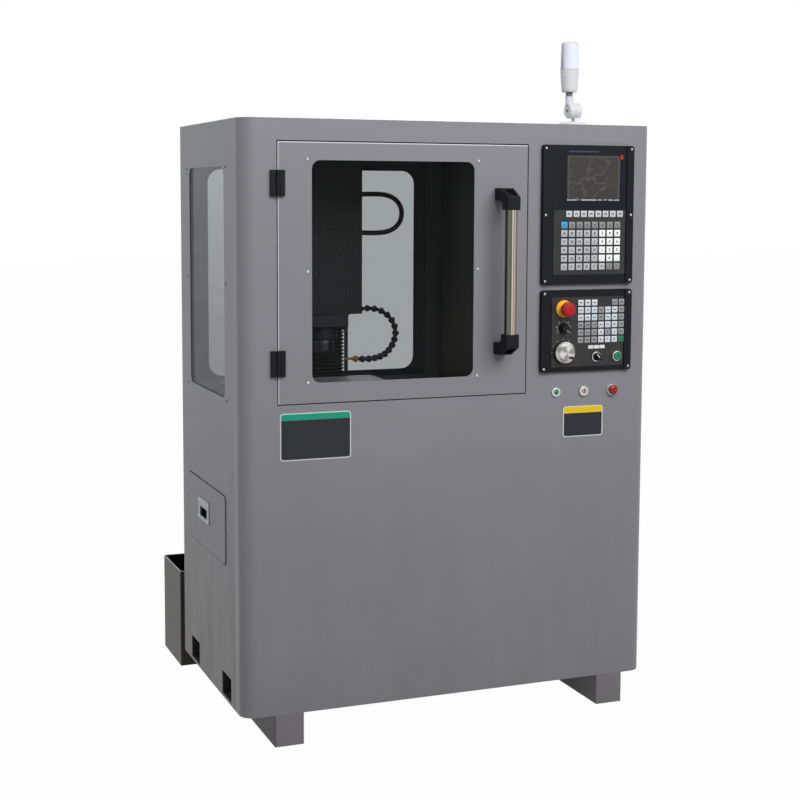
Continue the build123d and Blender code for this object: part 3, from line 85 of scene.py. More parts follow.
# Columns and rows of keys, millimetres
UPPER_KEY_X = [419.5 + (column - 3.5) * 24.7 for column in range(8)]
UPPER_KEY_Z = [1377.0 + (2.5 - row) * 24.0 for row in range(6)]
SOFT_KEY_X = [431.0 + (column - 3.5) * 23.7 for column in range(8)]
SOFT_KEY_Z = 1469
LOWER_KEY_X = [391.0 + 22.3 * column for column in range(7)]
LOWER_KEY_Z = [1212.0 - 21.7 * row for row in range(6)]

# Tone of each key: w white, l light, g grey, b blue, n green, and a space where there is none
UPPER_KEYS = ("bggggggg", "lllllwww", "lllllwww", "lllllwww", "lllllwww", "llllllgg")
LOWER_KEYS = ("www  gg", "wwwgwwg", "wwwgwwg", "gggwwwg", "gggwgwg", "gggwwwn")

# Softened edges of sheet, castings and small parts, metres
SHEET_EDGE = 0.0016
CAST_EDGE = 0.0025
SMALL_EDGE = 0.0008

# The photograph's camera: lens in millimetres, place from the cabinet's front, turns in degrees
LENS = 67.356
LENS_SHIFT = -0.075
CAMERA_SPOT = (-1678.2, -3855.4, 1524.4)
CAMERA_TURNS = (21.394, -5.574, 0.232)


def at(x, y, z):
    """A point given in millimetres from the cabinet's front middle, in Blender's metres."""
    return Vector(((x + SHIFT_X) * MM, (y + SHIFT_Y) * MM, z * MM))


def rgb(red, green, blue):
    """A colour written as it looks on screen, 0 to 255, as Blender's linear values."""
    values = []
    for channel in (red, green, blue):
        share = channel / 255
        values.append(share / 12.92 if share <= 0.04045 else ((share + 0.055) / 1.055) ** 2.4)
    return (*values, 1.0)


def scaled(colour, share):
    """A colour made darker or lighter."""
    return (*(min(1.0, channel * share) for channel in colour[:3]), 1.0)


class Wire:
    """One output in a material's node tree, with arithmetic on it."""

    def __init__(self, tree, socket):
        self.tree = tree
        self.socket = socket

    def node(self, kind, feeds=None, out=0, stops=None, **settings):
        """Any other node: its settings first, then the values or wires of its sockets."""
        made = self.tree.nodes.new(kind)
        for name, value in settings.items():
            setattr(made, name, value)
        if stops:
            ramp = made.color_ramp
            while len(ramp.elements) < len(stops):
                ramp.elements.new(0.5)
            for element, (place, colour) in zip(ramp.elements, stops):
                element.position = place
                element.color = colour
        for name, value in (feeds or {}).items():
            socket = made.inputs[name]
            if isinstance(value, Wire):
                self.tree.links.new(value.socket, socket)
            else:
                socket.default_value = value
        return Wire(self.tree, made.outputs[out])

    def maths(self, operation, other=None, swapped=False):
        """A Math node on this wire and another value or wire."""
        first, second = (other, self) if swapped else (self, other)
        feeds = {0: first}
        if second is not None:
            feeds[1] = second
        return self.node("ShaderNodeMath", feeds, operation=operation)

    def __add__(self, other):
        return self.maths("ADD", other)

    __radd__ = __add__

    def __mul__(self, other):
        return self.maths("MULTIPLY", other)

    __rmul__ = __mul__

    def __sub__(self, other):
        return self.maths("SUBTRACT", other)

    def __rsub__(self, other):
        return self.maths("SUBTRACT", other, swapped=True)

    def __truediv__(self, other):
        return self.maths("DIVIDE", other)

    def __gt__(self, other):
        return self.maths("GREATER_THAN", other)

    def __lt__(self, other):
        return self.maths("LESS_THAN", other)

    def __abs__(self):
        return self.maths("ABSOLUTE")

    def __pow__(self, other):
        return self.maths("POWER", other)

    def sine(self):
        """The sine of this wire, in radians."""
        return self.maths("SINE")

    def within(self, low, high):
        """1 between two values, 0 outside them."""
        return (self > low) * (self < high)

    def clamp(self):
        """This wire kept between 0 and 1."""
        return self.maths("MAXIMUM", 0.0).maths("MINIMUM", 1.0)

    def below(self, top, depth):
        """0 where this wire is over the top, rising to 1 at a depth under it."""
        return ((top - self) / depth).clamp()

    def blend(self, low, high):
        """Colour low where this wire is 0 and high where it is 1."""
        return self.node("ShaderNodeMix", {0: self, 6: low, 7: high}, out=2, data_type="RGBA")


class Finish:
    """A material being made: its tree, its principled shader and its object coordinates."""

    def __init__(self, name, metal=0.0, shine=0.5, edge=None, **extra):
        self.material = bpy.data.materials.new(name)
        self.material.use_nodes = True
        self.tree = self.material.node_tree
        self.shader = self.tree.nodes["Principled BSDF"]
        coords = self.tree.nodes.new("ShaderNodeTexCoord")
        self.spot = Wire(self.tree, coords.outputs["Object"])
        self.colour = None
        self.rough = None
        self.normal = None
        settings = {"Metallic": metal, "Specular_IOR_Level": shine, **extra}
        for socket, value in settings.items():
            self.shader.inputs[socket.replace("_", " ")].default_value = value
        if edge:
            self.soften(edge)

    def axis(self, name):
        """One object coordinate, X, Y or Z, in metres."""
        return self.spot.node("ShaderNodeSeparateXYZ", {0: self.spot}, out="XYZ".index(name))

    def span(self, name, node):
        """Where a point lies along one side of a CAD node's box, 0 to 1."""
        low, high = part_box(node)
        place = "XYZ".index(name)
        return (self.axis(name) - low[place]) / (high[place] - low[place])

    def noise(self, scale, detail=3.0, rough=0.55, stretch=None):
        """Noise between 0 and 1, stretched along an axis if asked."""
        vector = self.spot
        if stretch:
            vector = self.spot.node("ShaderNodeMapping", {"Vector": vector, "Scale": stretch})
        return self.spot.node(
            "ShaderNodeTexNoise",
            {"Vector": vector, "Scale": scale, "Detail": detail, "Roughness": rough},
        )

    def soften(self, radius):
        """Rounds the normal at edges, and keeps how much the surface turns there."""
        self.normal = self.spot.node("ShaderNodeBevel", {"Radius": radius}, samples=4)
        feeds = {0: self.normal, 1: self.spot.node("ShaderNodeNewGeometry", out=3)}
        same = self.spot.node("ShaderNodeVectorMath", feeds, out=1, operation="DOT_PRODUCT")
        self.turn = (1 - same) * 4.0

    def bump(self, height, distance, strength=1.0):
        """Adds relief to what is there already."""
        feeds = {"Height": height, "Distance": distance, "Strength": strength}
        if self.normal is not None:
            feeds["Normal"] = self.normal
        self.normal = self.spot.node("ShaderNodeBump", feeds)

    def done(self):
        """Links what varies to the shader and returns the material."""
        for name, value in (("Base Color", self.colour), ("Roughness", self.rough)):
            if isinstance(value, Wire):
                self.tree.links.new(value.socket, self.shader.inputs[name])
            else:
                self.shader.inputs[name].default_value = value
        if self.normal is not None:
            self.tree.links.new(self.normal.socket, self.shader.inputs["Normal"])
        return self.material


def powder_coat(name, colour, rough=0.42, dust_and_shade=0.0, peel=0.35, rim=None, shaded_side=None, shine=0.4):
    """Fine orange peel paint with slight clouding, a softened edge with a painted highlight, and
    dust with painted shade near the floor.

    rim names a node whose top and left edges get a painted highlight; the argument after it names
    one whose left side gets painted shade.
    """
    darkening_top = 0.95
    rim_top, rim_left, outer_skin = 0.0028, 0.0022, 0.0015
    skin = Finish(name, shine=shine, edge=SHEET_EDGE)
    cloud = skin.noise(2.3, 2.0)
    shade = cloud.blend(scaled(colour, 0.93), scaled(colour, 1.06))
    # painted highlight: the paint is made lighter where the surface turns at an edge
    shade = (skin.turn.clamp() * 0.35).blend(shade, scaled(colour, 1.5))
    if rim:
        low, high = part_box(rim)
        # painted highlight: a bright line along the node's top and left edges
        lit_edges = (skin.axis("Z") > high.z - rim_top) + (skin.axis("X") < low.x + rim_left)
        shade = (lit_edges.clamp() * 0.75).blend(shade, rgb(226, 227, 234))
    # dust and painted shade: the paint darkens in streaks towards the floor
    if dust_and_shade:
        streak = skin.noise(14.0, 4.0, 0.6, (1.0, 1.0, 0.25))
        dusty_and_shaded = skin.axis("Z").below(darkening_top, darkening_top) * streak * dust_and_shade
        shade = dusty_and_shaded.clamp().blend(shade, rgb(88, 83, 79))
    if shaded_side:
        # painted shade: the node's outer left side is painted near black, as it lies in shadow
        shaded_face = skin.axis("X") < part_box(shaded_side)[0].x + outer_skin
        shade = (shaded_face * (0.75 + cloud * 0.3)).clamp().blend(shade, rgb(40, 38, 37))
    skin.colour = shade
    skin.rough = rough - 0.04 + skin.noise(60.0, 2.0) * 0.08
    if peel:
        skin.bump(skin.noise(420.0, 1.0), 0.00012, peel)
    return skin.done()


def moulded(name, colour, rough=0.5, grain=900.0, depth=0.00008, shine=0.3, **extra):
    """Moulded plastic with a fine grain and softened edges."""
    skin = Finish(name, shine=shine, edge=SMALL_EDGE, **extra)
    cloud = skin.noise(40.0, 2.0)
    skin.colour = cloud.blend(scaled(colour, 0.9), colour)
    skin.rough = rough - 0.05 + cloud * 0.1
    skin.bump(skin.noise(grain, 2.0), depth, 0.4)
    return skin.done()


def ground_metal(name, colour, rough=0.3, stretch=(1.0, 1.0, 1.0), scale=500.0, mark=0.3):
    """Machined metal with grinding marks along one direction and darker handling marks."""
    skin = Finish(name, 1.0, edge=SMALL_EDGE)
    lines = skin.noise(scale, 4.0, 0.7, stretch)
    stain_and_haze = skin.noise(9.0, 4.0)
    skin.colour = (lines * 0.5 + stain_and_haze * 0.5).blend(scaled(colour, 1 - mark), colour)
    skin.rough = rough - 0.08 + lines * 0.16
    skin.bump(lines, 0.00003, 0.5)
    return skin.done()


def cast_paint(name, colour):
    """Thick enamel over a casting, slightly lumpy."""
    skin = Finish(name, shine=0.3, edge=CAST_EDGE)
    lumps = skin.noise(120.0, 3.0)
    skin.colour = skin.noise(6.0, 3.0).blend(scaled(colour, 0.82), colour)
    skin.rough = 0.44 + lumps * 0.12
    skin.bump(lumps, 0.0005, 0.4)
    return skin.done()


def tinted_sheet(name, tint, grazing, gloss=0.004, foot=None):
    """Smoked acrylic: light passes each face with a tint, and a thin streaky gloss lies on top.

    foot is the darker tint, painted shade, that the pane fades to from its top down.
    """
    shade_top, shade_fade = 1.62, 0.62
    material = bpy.data.materials.new(name)
    material.use_nodes = True
    tree = material.node_tree
    tree.nodes.remove(tree.nodes["Principled BSDF"])
    start = Wire(tree, tree.nodes.new("ShaderNodeTexCoord").outputs["Object"])
    if foot:
        height = start.node("ShaderNodeSeparateXYZ", {0: start}, out=2)
        # painted shade: the tint darkens towards the pane's foot
        tint = height.below(shade_top, shade_fade).blend(tint, foot)
    clear = start.node("ShaderNodeBsdfTransparent", {"Color": tint})
    drawn = start.node("ShaderNodeMapping", {"Vector": start, "Scale": (0.6, 0.6, 9.0)})
    smear = start.node("ShaderNodeTexNoise", {"Vector": drawn, "Scale": 4.0, "Detail": 4.0})
    shine = start.node("ShaderNodeBsdfAnisotropic", {"Color": WHITE, "Roughness": 0.06})
    edge_on = start.node("ShaderNodeFresnel", {"IOR": 1.3})
    share = edge_on * grazing + smear * gloss
    both = start.node("ShaderNodeMixShader", {0: share.clamp(), 1: clear, 2: shine})
    tree.links.new(both.socket, tree.nodes["Material Output"].inputs["Surface"])
    return material


def set_finish(material, *nodes):
    """Gives a material to CAD nodes."""
    for name in nodes:
        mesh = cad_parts[name].data
        mesh.materials.clear()
        mesh.materials.append(material)


def new_mesh(name, shape):
    """A named mesh from a bmesh, which is used up."""
    mesh = bpy.data.meshes.new(name)
    shape.to_mesh(mesh)
    shape.free()
    return mesh


def new_object(name, data):
    """An object that shows some data, in the scene at the origin."""
    made = bpy.data.objects.new(name, data)
    bpy.context.scene.collection.objects.link(made)
    return made


def finish_piece(name, shape, material, body="cabinet"):
    """Turns a bmesh into a piece at the origin that rides on a body."""
    bmesh.ops.recalc_face_normals(shape, faces=shape.faces)
    mesh = new_mesh(name, shape)
    mesh.shade_smooth()
    mesh.set_sharp_from_angle(angle=radians(35.0))
    mesh.materials.append(material)
    piece = new_object(name, mesh)
    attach(piece, body)


def facing(point, direction):
    """A placement with its own Z along a direction, at a point."""
    turn = Vector(direction).to_track_quat("Z", "Y").to_matrix().to_4x4()
    return Matrix.Translation(point) @ turn


def turned(shape, profile, placement, steps):
    """Spins a profile of (radius, height) pairs in metres round the placement's own Z."""
    made = [shape.verts.new((radius, 0.0, height)) for radius, height in profile]
    edges = [shape.edges.new(pair) for pair in zip(made, made[1:])]
    whole = {"angle": 2 * pi, "steps": steps, "use_merge": True}
    bmesh.ops.spin(shape, geom=made + edges, cent=(0, 0, 0), axis=(0, 0, 1), **whole)
    fresh = [v for v in shape.verts if not v.tag]
    bmesh.ops.remove_doubles(shape, verts=fresh, dist=1e-6)
    fresh = [v for v in shape.verts if not v.tag]
    bmesh.ops.transform(shape, matrix=placement, verts=fresh)
    for v in fresh:
        v.tag = True


def block(shape, placement, size, bevel=0.0, segments=1):
    """A block of a given size with bevelled edges, centred on the placement."""
    made = bmesh.ops.create_cube(shape, size=1.0)["verts"]
    bmesh.ops.scale(shape, vec=Vector(size), verts=made)
    if bevel:
        cut = {"offset": bevel, "segments": segments, "profile": 0.5, "affect": "EDGES"}
        edges = list({edge for v in made for edge in v.link_edges})
        result = bmesh.ops.bevel(shape, geom=edges, material=-1, **cut)
        kept = {v for v in made if v.is_valid}
        made = list({v for face in result["faces"] for v in face.verts} | kept)
    bmesh.ops.transform(shape, matrix=placement, verts=made)


def block_piece(name, blocks, material, bevel=0.0, segments=1):
    """A piece on the cabinet made of upright blocks, each given by its middle and its size."""
    shape = bmesh.new()
    for middle, size in blocks:
        block(shape, Matrix.Translation(middle), size, bevel, segments)
    finish_piece(name, shape, material)


class CabinetSettings(bpy.types.PropertyGroup):
    """Paint of the cabinet."""

    paint: bpy.props.FloatVectorProperty(
        name="Paint",
        description="Colour of the cabinet's powder coat",
        subtype="COLOR",
        size=4,
        min=0.0,
        max=1.0,
        default=rgb(128, 128, 134),
    )
    # dust and painted shade: how much the paint darkens towards the floor
    floor_dust_and_shade: bpy.props.FloatProperty(
        name="Dust",
        description="How much brown dust lies on the paint near the floor",
        default=0.5,
        min=0.0,
        max=1.0,
    )


class TrimSettings(bpy.types.PropertyGroup):
    """Small trim."""

    screw_head: bpy.props.FloatProperty(
        name="Screw Head",
        description="Diameter of a window screw's head",
        default=0.0105,
        min=0.004,
        unit="LENGTH",
    )
    key_cap: bpy.props.FloatProperty(
        name="Key Cap",
        description="Width of a key's printed cap",
        default=0.0195,
        min=0.01,
        unit="LENGTH",
    )


class StageSettings(bpy.types.PropertyGroup):
    """Lights of the studio."""

    key_power: bpy.props.FloatProperty(
        name="Key Light",
        description="Power of the large front light",
        default=230.0,
        min=0.0,
        unit="POWER",
    )
    ambient: bpy.props.FloatProperty(
        name="Ambient",
        description="Strength of the even light from all round",
        default=0.27,
        min=0.0,
    )


class MILL_OT_cabinet_paint(bpy.types.Operator):
    """Powder coat on the cabinet, door, drawer, foot rails, stand, chip pan and fork tubes"""

    bl_idname = "mill.cabinet_paint"
    bl_label = "Cabinet Paint"

    def execute(self, context):
        settings = context.scene.mill_cabinet
        paint = tuple(settings.paint)
        sheet = powder_coat("cabinet_paint", paint, dust_and_shade=settings.floor_dust_and_shade)
        set_finish(sheet, "front_panel", "right_panel", "rear_panel", "top_panel", "floor_tray")
        # painted light and shade: the left side and drawer get a lighter copy of the cabinet's
        # paint that darkens far more towards the floor
        side_dust_and_shade = settings.floor_dust_and_shade * 3.2
        side = powder_coat("side_paint_lit_and_shaded", rgb(134, 135, 142), dust_and_shade=side_dust_and_shade, shine=0.2)
        set_finish(side, "left_panel", "chip_drawer")
        set_finish(powder_coat("door_paint", paint, rim="door_panel"), "door_panel")
        grey = rgb(130, 129, 133)
        rail = powder_coat("rail_paint", grey, dust_and_shade=0.5, shaded_side="foot_rails", shine=0.1)
        set_finish(rail, "foot_rails")
        haze_top, haze_fade = 1.3, 0.32
        inner = Finish("inner_paint", shine=0.3)
        inner.rough = 0.6
        # painted reflection: the partition and stand turn a lighter brown below 1.3 m, towards the
        # floor
        stain_and_haze = inner.axis("Z").below(haze_top, haze_fade) * (0.6 + inner.noise(5.0) * 0.5)
        inner.colour = stain_and_haze.clamp().blend(rgb(36, 37, 39), rgb(104, 96, 88))
        set_finish(inner.done(), "partition", "machine_stand")
        set_finish(powder_coat("pan_paint", rgb(92, 88, 84), 0.5, peel=0.0), "chip_pan")
        set_finish(powder_coat("tube_paint", rgb(30, 31, 33), 0.55), "fork_tubes")
        return {"FINISHED"}


class MILL_OT_tank_paint(bpy.types.Operator):
    """Grey coolant tank, painted darker outside as shade, with a dark coating inside and a painted
    highlight along its top edge
    """

    bl_idname = "mill.tank_paint"
    bl_label = "Tank Paint"

    def execute(self, context):
        wall = 0.0028
        lit_lip = 0.0016
        skin = Finish("tank_paint", shine=0.12, edge=SHEET_EDGE)
        low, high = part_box("coolant_tank")
        inside = (
            skin.axis("X").within(low.x + wall, high.x - wall)
            * skin.axis("Y").within(low.y + wall, high.y - wall)
            * (skin.axis("Z") > low.z + wall)
        )
        streak = skin.noise(16.0, 4.0, 0.6, (1.0, 1.0, 0.2))
        # painted shade: the outside is a darker grey than the cabinet's paint, as it stands in the
        # cabinet's shadow
        shaded_shell = streak.blend(rgb(72, 70, 67), rgb(92, 90, 89))
        coated = inside.blend(shaded_shell, rgb(34, 36, 50))
        # painted highlight: a bright line along the tank's top edge
        skin.colour = (skin.axis("Z") > high.z - lit_lip).blend(coated, rgb(206, 206, 208))
        skin.rough = 0.38 + skin.noise(50.0) * 0.1
        skin.bump(skin.noise(420.0, 1.0), 0.00012, 0.35)
        set_finish(skin.done(), "coolant_tank")
        return {"FINISHED"}


class MILL_OT_windows(bpy.types.Operator):
    """Smoked panes in the door, left side and back"""

    bl_idname = "mill.windows"
    bl_label = "Window Panes"

    def execute(self, context):
        # Each tint is what one face lets through, and light crosses two faces of a pane
        smoke = (0.760, 0.772, 0.772, 1.0)
        side_smoke = (0.70, 0.735, 0.745, 1.0)
        # painted shade: the side pane's tint darkens towards its foot
        side_shade_tint = (0.54, 0.56, 0.57, 1.0)
        set_finish(tinted_sheet("smoked_acrylic", smoke, 0.12), "door_window", "rear_window")
        side = tinted_sheet("side_acrylic", side_smoke, 0.2, 0.05, side_shade_tint)
        set_finish(side, "side_window")
        return {"FINISHED"}


def polished_tube():
    """Polished steel tube with painted reflections of the room, in light and dark bands along it.
    """
    bar = Finish("polished_tube", 1.0)
    lines = bar.noise(60.0, 3.0, 0.6, (30.0, 30.0, 0.4))
    # painted reflections: light and dark bands along the bar
    painted_reflections = bar.spot.node(
        "ShaderNodeValToRGB",
        {0: bar.span("X", "handle_bar") + lines * 0.05},
        stops=[
            (0.0, rgb(70, 74, 70)),
            (0.2, rgb(112, 114, 106)),
            (0.36, rgb(84, 86, 80)),
            (0.46, rgb(232, 228, 216)),
            (0.54, rgb(112, 106, 92)),
            (0.64, rgb(212, 202, 186)),
            (0.74, rgb(132, 112, 92)),
            (0.84, rgb(180, 160, 138)),
            (1.0, rgb(74, 66, 58)),
        ],
    )
    bar.colour = (lines * 0.35).blend(painted_reflections, rgb(92, 88, 80))
    bar.rough = 0.16 + lines * 0.12
    return bar.done()


def pull_steel():
    """Pressed steel with painted shade deepening into the sunk grip, and a bright rivet in each
    corner.
    """
    rivet_inset = 0.0075
    rivet_radius = 0.0034
    pull = Finish("pull_steel", 0.8, edge=SMALL_EDGE)
    low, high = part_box("drawer_pull")
    deep = pull.span("X", "drawer_pull")
    worn = pull.noise(80.0, 3.0)
    # painted shade: the steel darkens deeper into the sunk grip
    shaded_plate = (deep * 1.3 + worn * 0.3).clamp().blend(rgb(138, 142, 146), rgb(22, 23, 24))
    rivets = sum(
        (pull.axis("Y") - y) ** 2 + (pull.axis("Z") - z) ** 2 < rivet_radius**2
        for y in (low.y + rivet_inset, high.y - rivet_inset)
        for z in (low.z + rivet_inset, high.z - rivet_inset)
    )
    pull.colour = (rivets * (deep < 0.2)).clamp().blend(shaded_plate, rgb(226, 228, 230))
    pull.rough = 0.25 + worn * 0.2
    return pull.done()


class MILL_OT_hardware(bpy.types.Operator):
    """Black hinges and handle brackets, the steel bar and the drawer's pull"""

    bl_idname = "mill.hardware"
    bl_label = "Door Hardware"

    def execute(self, context):
        black = moulded("black_hardware", rgb(17, 18, 20), 0.45, 600.0, 0.0001, 0.14)
        set_finish(black, "hinge_frame_leaves", "hinge_door_leaves", "handle_brackets")
        set_finish(ground_metal("pin_steel", rgb(170, 170, 172), 0.3), "hinge_pins")
        set_finish(polished_tube(), "handle_bar")
        set_finish(pull_steel(), "drawer_pull")
        return {"FINISHED"}


def keypad_film():
    """Printed film, dark on its face and mottled on its rim."""
    sheet = Finish("keypad_film", shine=0.25)
    face = sheet.axis("Y") < (SHIFT_Y + FILM_FACE - 0.4) * MM
    mottled = sheet.noise(25.0, 2.0).blend(rgb(34, 34, 36), rgb(56, 55, 55))
    sheet.colour = face.blend(mottled, rgb(24, 24, 26))
    sheet.rough = 0.3 + sheet.noise(90.0) * 0.14
    sheet.bump(sheet.noise(700.0, 1.0), 0.00003, 0.4)
    return sheet.done()


def screen_glass():
    """Dark screen under a creased protective film, with a painted glint along its foot."""
    glass = Finish("screen_glass", shine=0.35)
    blobs = glass.noise(60.0, 3.0, 0.5)
    folds = glass.noise(13.0, 2.0, 0.5, (1.0, 1.0, 1.5))
    ridge = (1 - abs(folds - 0.53) * 30).clamp() ** 1.5
    spots = ((blobs - 0.62) * 9).clamp()
    across = glass.span("X", "display_screen")
    rise = glass.span("Z", "display_screen")
    film = (ridge * 0.42 + spots * 0.35).clamp().blend(rgb(48, 46, 42), rgb(100, 97, 90))
    margin = ((across < 0.045) + (across > 0.945) + (rise > 0.955)).clamp()
    film = margin.blend(film, rgb(64, 64, 66))
    # painted highlight: bright glints along the film's foot
    glint = (glass.noise(90.0, 2.0) > 0.42) * (rise < 0.028)
    glass.colour = glint.clamp().blend(film, rgb(176, 182, 192))
    glass.rough = 0.2 + blobs * 0.2
    glass.bump(ridge, 0.0005, 0.5)
    return glass.done()


class MILL_OT_panels(bpy.types.Operator):
    """Black bezels, printed keypad films and the screen"""

    bl_idname = "mill.panels"
    bl_label = "Operator Panels"

    def execute(self, context):
        bezel = moulded("bezel_black", rgb(21, 22, 28), 0.5, 500.0, 0.00015, 0.12)
        set_finish(bezel, "upper_bezel", "lower_bezel")
        set_finish(keypad_film(), "upper_keypad", "lower_keypad")
        set_finish(screen_glass(), "display_screen")
        return {"FINISHED"}


def dial_aluminium():
    """Turned aluminium with painted highlights that run out from the hub in six rays."""
    dial = Finish("dial_aluminium", 1.0, edge=SMALL_EDGE)
    centre = {0: dial.spot, 1: tuple(-at(DIAL_X, 0, HANDWHEEL_Z))}
    hub = dial.spot.node("ShaderNodeVectorMath", centre, operation="ADD")
    flat = dial.spot.node("ShaderNodeMapping", {"Vector": hub, "Rotation": (-pi / 2, 0, 0.0)})
    sweep = dial.spot.node(
        "ShaderNodeTexGradient", {"Vector": flat}, out=1, gradient_type="RADIAL"
    )
    # painted highlights: light and dark rays round the hub
    wave = (sweep * (6 * pi) + 0.8).sine() * 0.5 + 0.5
    grain = dial.noise(700.0, 2.0)
    shine = (wave * 0.8 + grain * 0.2).clamp()
    dial.colour = shine.blend(rgb(128, 124, 116), rgb(226, 224, 220))
    dial.rough = 0.2 + grain * 0.12
    return dial.done()


class MILL_OT_controls(bpy.types.Operator):
    """Emergency stop, knobs, dial, rings, buttons, key switch and pilot lens"""

    bl_idname = "mill.controls"
    bl_label = "Round Controls"

    def execute(self, context):
        set_finish(moulded("collar_yellow", rgb(254, 198, 50), 0.42), "estop_collar")
        set_finish(moulded("mushroom_red", rgb(176, 24, 30), 0.36), "estop_head")
        black = moulded("knob_black", rgb(15, 15, 17), 0.4, shine=0.2)
        set_finish(black, "feed_knob", "selector_knob", "handwheel_base")
        set_finish(dial_aluminium(), "handwheel_dial")
        ring = ground_metal("bright_ring", rgb(212, 212, 214), 0.16, scale=300.0, mark=0.1)
        set_finish(ring, "control_rings")
        brass = ground_metal("key_barrel_brass", rgb(176, 158, 138), scale=300.0, mark=0.2)
        set_finish(brass, "key_barrel")
        set_finish(moulded("button_green", rgb(32, 118, 88), 0.34), "start_button")
        lens = {"grain": 300.0, "depth": 0.00002, "Coat_Weight": 0.12}
        set_finish(moulded("power_red", rgb(150, 6, 18), 0.2, **lens), "power_button")
        set_finish(moulded("pilot_green", rgb(24, 120, 74), 0.14, **lens), "pilot_lens")
        return {"FINISHED"}


def lamp_plastic():
    """White plastic with the grey neck under the lens."""
    neck_foot, neck_top = 1.809, 1.8219
    body = Finish("lamp_plastic", shine=0.3, edge=0.0012)
    neck = body.axis("Z").within(neck_foot, neck_top)
    cloud = body.noise(30.0, 2.0).blend(rgb(208, 210, 214), rgb(222, 223, 226))
    body.colour = neck.blend(cloud, rgb(120, 121, 124))
    body.rough = 0.36 + body.noise(60.0) * 0.1
    body.bump(body.noise(600.0, 1.0), 0.00005, 0.3)
    return body.done()


def lamp_lens():
    """Frosted, finely ribbed lens with painted shade towards its sides, and darker rims."""
    lens = Finish("lamp_lens", shine=0.3)
    lens.rough = 0.2
    lens.bump((lens.axis("X") * 1400.0).sine(), 0.0001, 0.3)
    rise = lens.span("Z", "lamp_lens")
    across = abs(lens.span("X", "lamp_lens") - 0.5) * 2
    # painted shade: the lens darkens towards its sides
    wall = ((across - 0.86) * 9).clamp()
    clear = lens.noise(12.0).blend(rgb(220, 228, 242), rgb(234, 238, 247))
    clear = wall.blend(clear, rgb(172, 178, 194))
    rim = ((rise < 0.03) + (rise > 0.965)).clamp()
    lens.colour = rim.blend(clear, rgb(178, 182, 194))
    return lens.done()


class MILL_OT_lamp(bpy.types.Operator):
    """White folding lamp with a grey neck and a frosted lens"""

    bl_idname = "mill.lamp"
    bl_label = "Signal Lamp"

    def execute(self, context):
        set_finish(lamp_plastic(), "lamp_base", "lamp_body")
        set_finish(lamp_lens(), "lamp_lens")
        return {"FINISHED"}


class MILL_OT_mill_castings(bpy.types.Operator):
    """Dark enamel castings, ground table, turned spindle, threaded screws, motors and cover"""

    bl_idname = "mill.mill_castings"
    bl_label = "Mill Inside"

    def execute(self, context):
        enamel = cast_paint("casting_enamel", rgb(52, 54, 58))
        set_finish(enamel, "mill_base", "saddle", "column", "head_casting")
        set_finish(powder_coat("cover_paint", rgb(32, 33, 35), 0.6, peel=0.0), "head_cover")
        table = ground_metal("ground_table", rgb(214, 214, 212), 0.42, (0.2, 4.0, 1.0))
        set_finish(table, "work_table")
        steel = ground_metal("turned_steel", rgb(92, 92, 95), 0.45, (1.0, 1.0, 8.0))
        set_finish(steel, "spindle")
        thread_waves = 1256.6  # radians in a metre, one turn every 5 mm
        thread = Finish("screw_steel", 1.0)
        thread.rough = 0.28
        along = thread.axis("X") + thread.axis("Y") + thread.axis("Z")
        wave = (along * thread_waves).sine()
        thread.bump(wave, 0.0012, 0.8)
        # painted light and shade: the thread's crests are lighter and its grooves darker
        thread.colour = (wave * 0.5 + 0.5).blend(rgb(92, 92, 94), rgb(176, 176, 178))
        set_finish(thread.done(), "x_screw", "y_screw", "z_screw")
        black = moulded("motor_black", rgb(34, 35, 38), 0.5)
        set_finish(black, "spindle_motor", "axis_motors", "x_motor")
        return {"FINISHED"}


def bellows_cloth(foot, pleat):
    """Woven black cloth with painted shade in each fold, one pleat's height apart above the foot.
    """
    cloth = Finish("bellows_cloth")
    weave = cloth.noise(900.0, 2.0)
    fold = ((cloth.axis("Z") - foot) * (2 * pi / pleat)).sine()
    # painted shade: darker bands in the folds
    cloth.colour = (fold * 0.5 + 0.5).blend(rgb(40, 40, 43), rgb(20, 20, 23))
    cloth.rough = 0.62 + weave * 0.16
    cloth.bump(weave, 0.0002, 0.5)
    return cloth.done()


class MILL_OT_way_bellows(bpy.types.Operator):
    """Pleated bellows between the cabinet below and the head above, as one fixed mesh"""

    bl_idname = "mill.way_bellows"
    bl_label = "Way Bellows"

    def execute(self, context):
        low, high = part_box("way_bellows")
        folds = 60
        fold_depth = 0.008
        rise = (high.z - low.z) / folds
        shape = bmesh.new()
        rings = []
        for fold in range(folds + 1):
            z = low.z + rise * fold
            inset = fold_depth if fold % 2 == 0 else 0.0
            left, right, front = low.x + inset, high.x - inset, low.y + inset
            corners = ((left, high.y), (left, front), (right, front), (right, high.y))
            rings.append([shape.verts.new((x, y, z)) for x, y in corners])
        for lower, upper in zip(rings, rings[1:]):
            for one in range(4):
                two = (one + 1) % 4
                shape.faces.new((lower[one], lower[two], upper[two], upper[one]))
        shape.faces.new(rings[0])
        shape.faces.new(rings[-1])
        bmesh.ops.recalc_face_normals(shape, faces=shape.faces)
        mesh = new_mesh("bellows_folds", shape)
        mesh.materials.append(bellows_cloth(low.z, 2 * rise))
        piece = new_object("bellows_folds", mesh)
        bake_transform(piece)
        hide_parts("way_bellows")
        return {"FINISHED"}


class MILL_OT_coolant_lines(bpy.types.Operator):
    """Riser pipe, segmented hose and nozzle finishes"""

    bl_idname = "mill.coolant_lines"
    bl_label = "Coolant Lines"

    def execute(self, context):
        set_finish(moulded("riser_blue_grey", rgb(66, 72, 92), 0.45), "coolant_pipe")
        set_finish(moulded("hose_blue", rgb(56, 60, 82), 0.42), "coolant_hose")
        set_finish(moulded("nozzle_orange", rgb(190, 138, 52), 0.4), "coolant_nozzle")
        return {"FINISHED"}


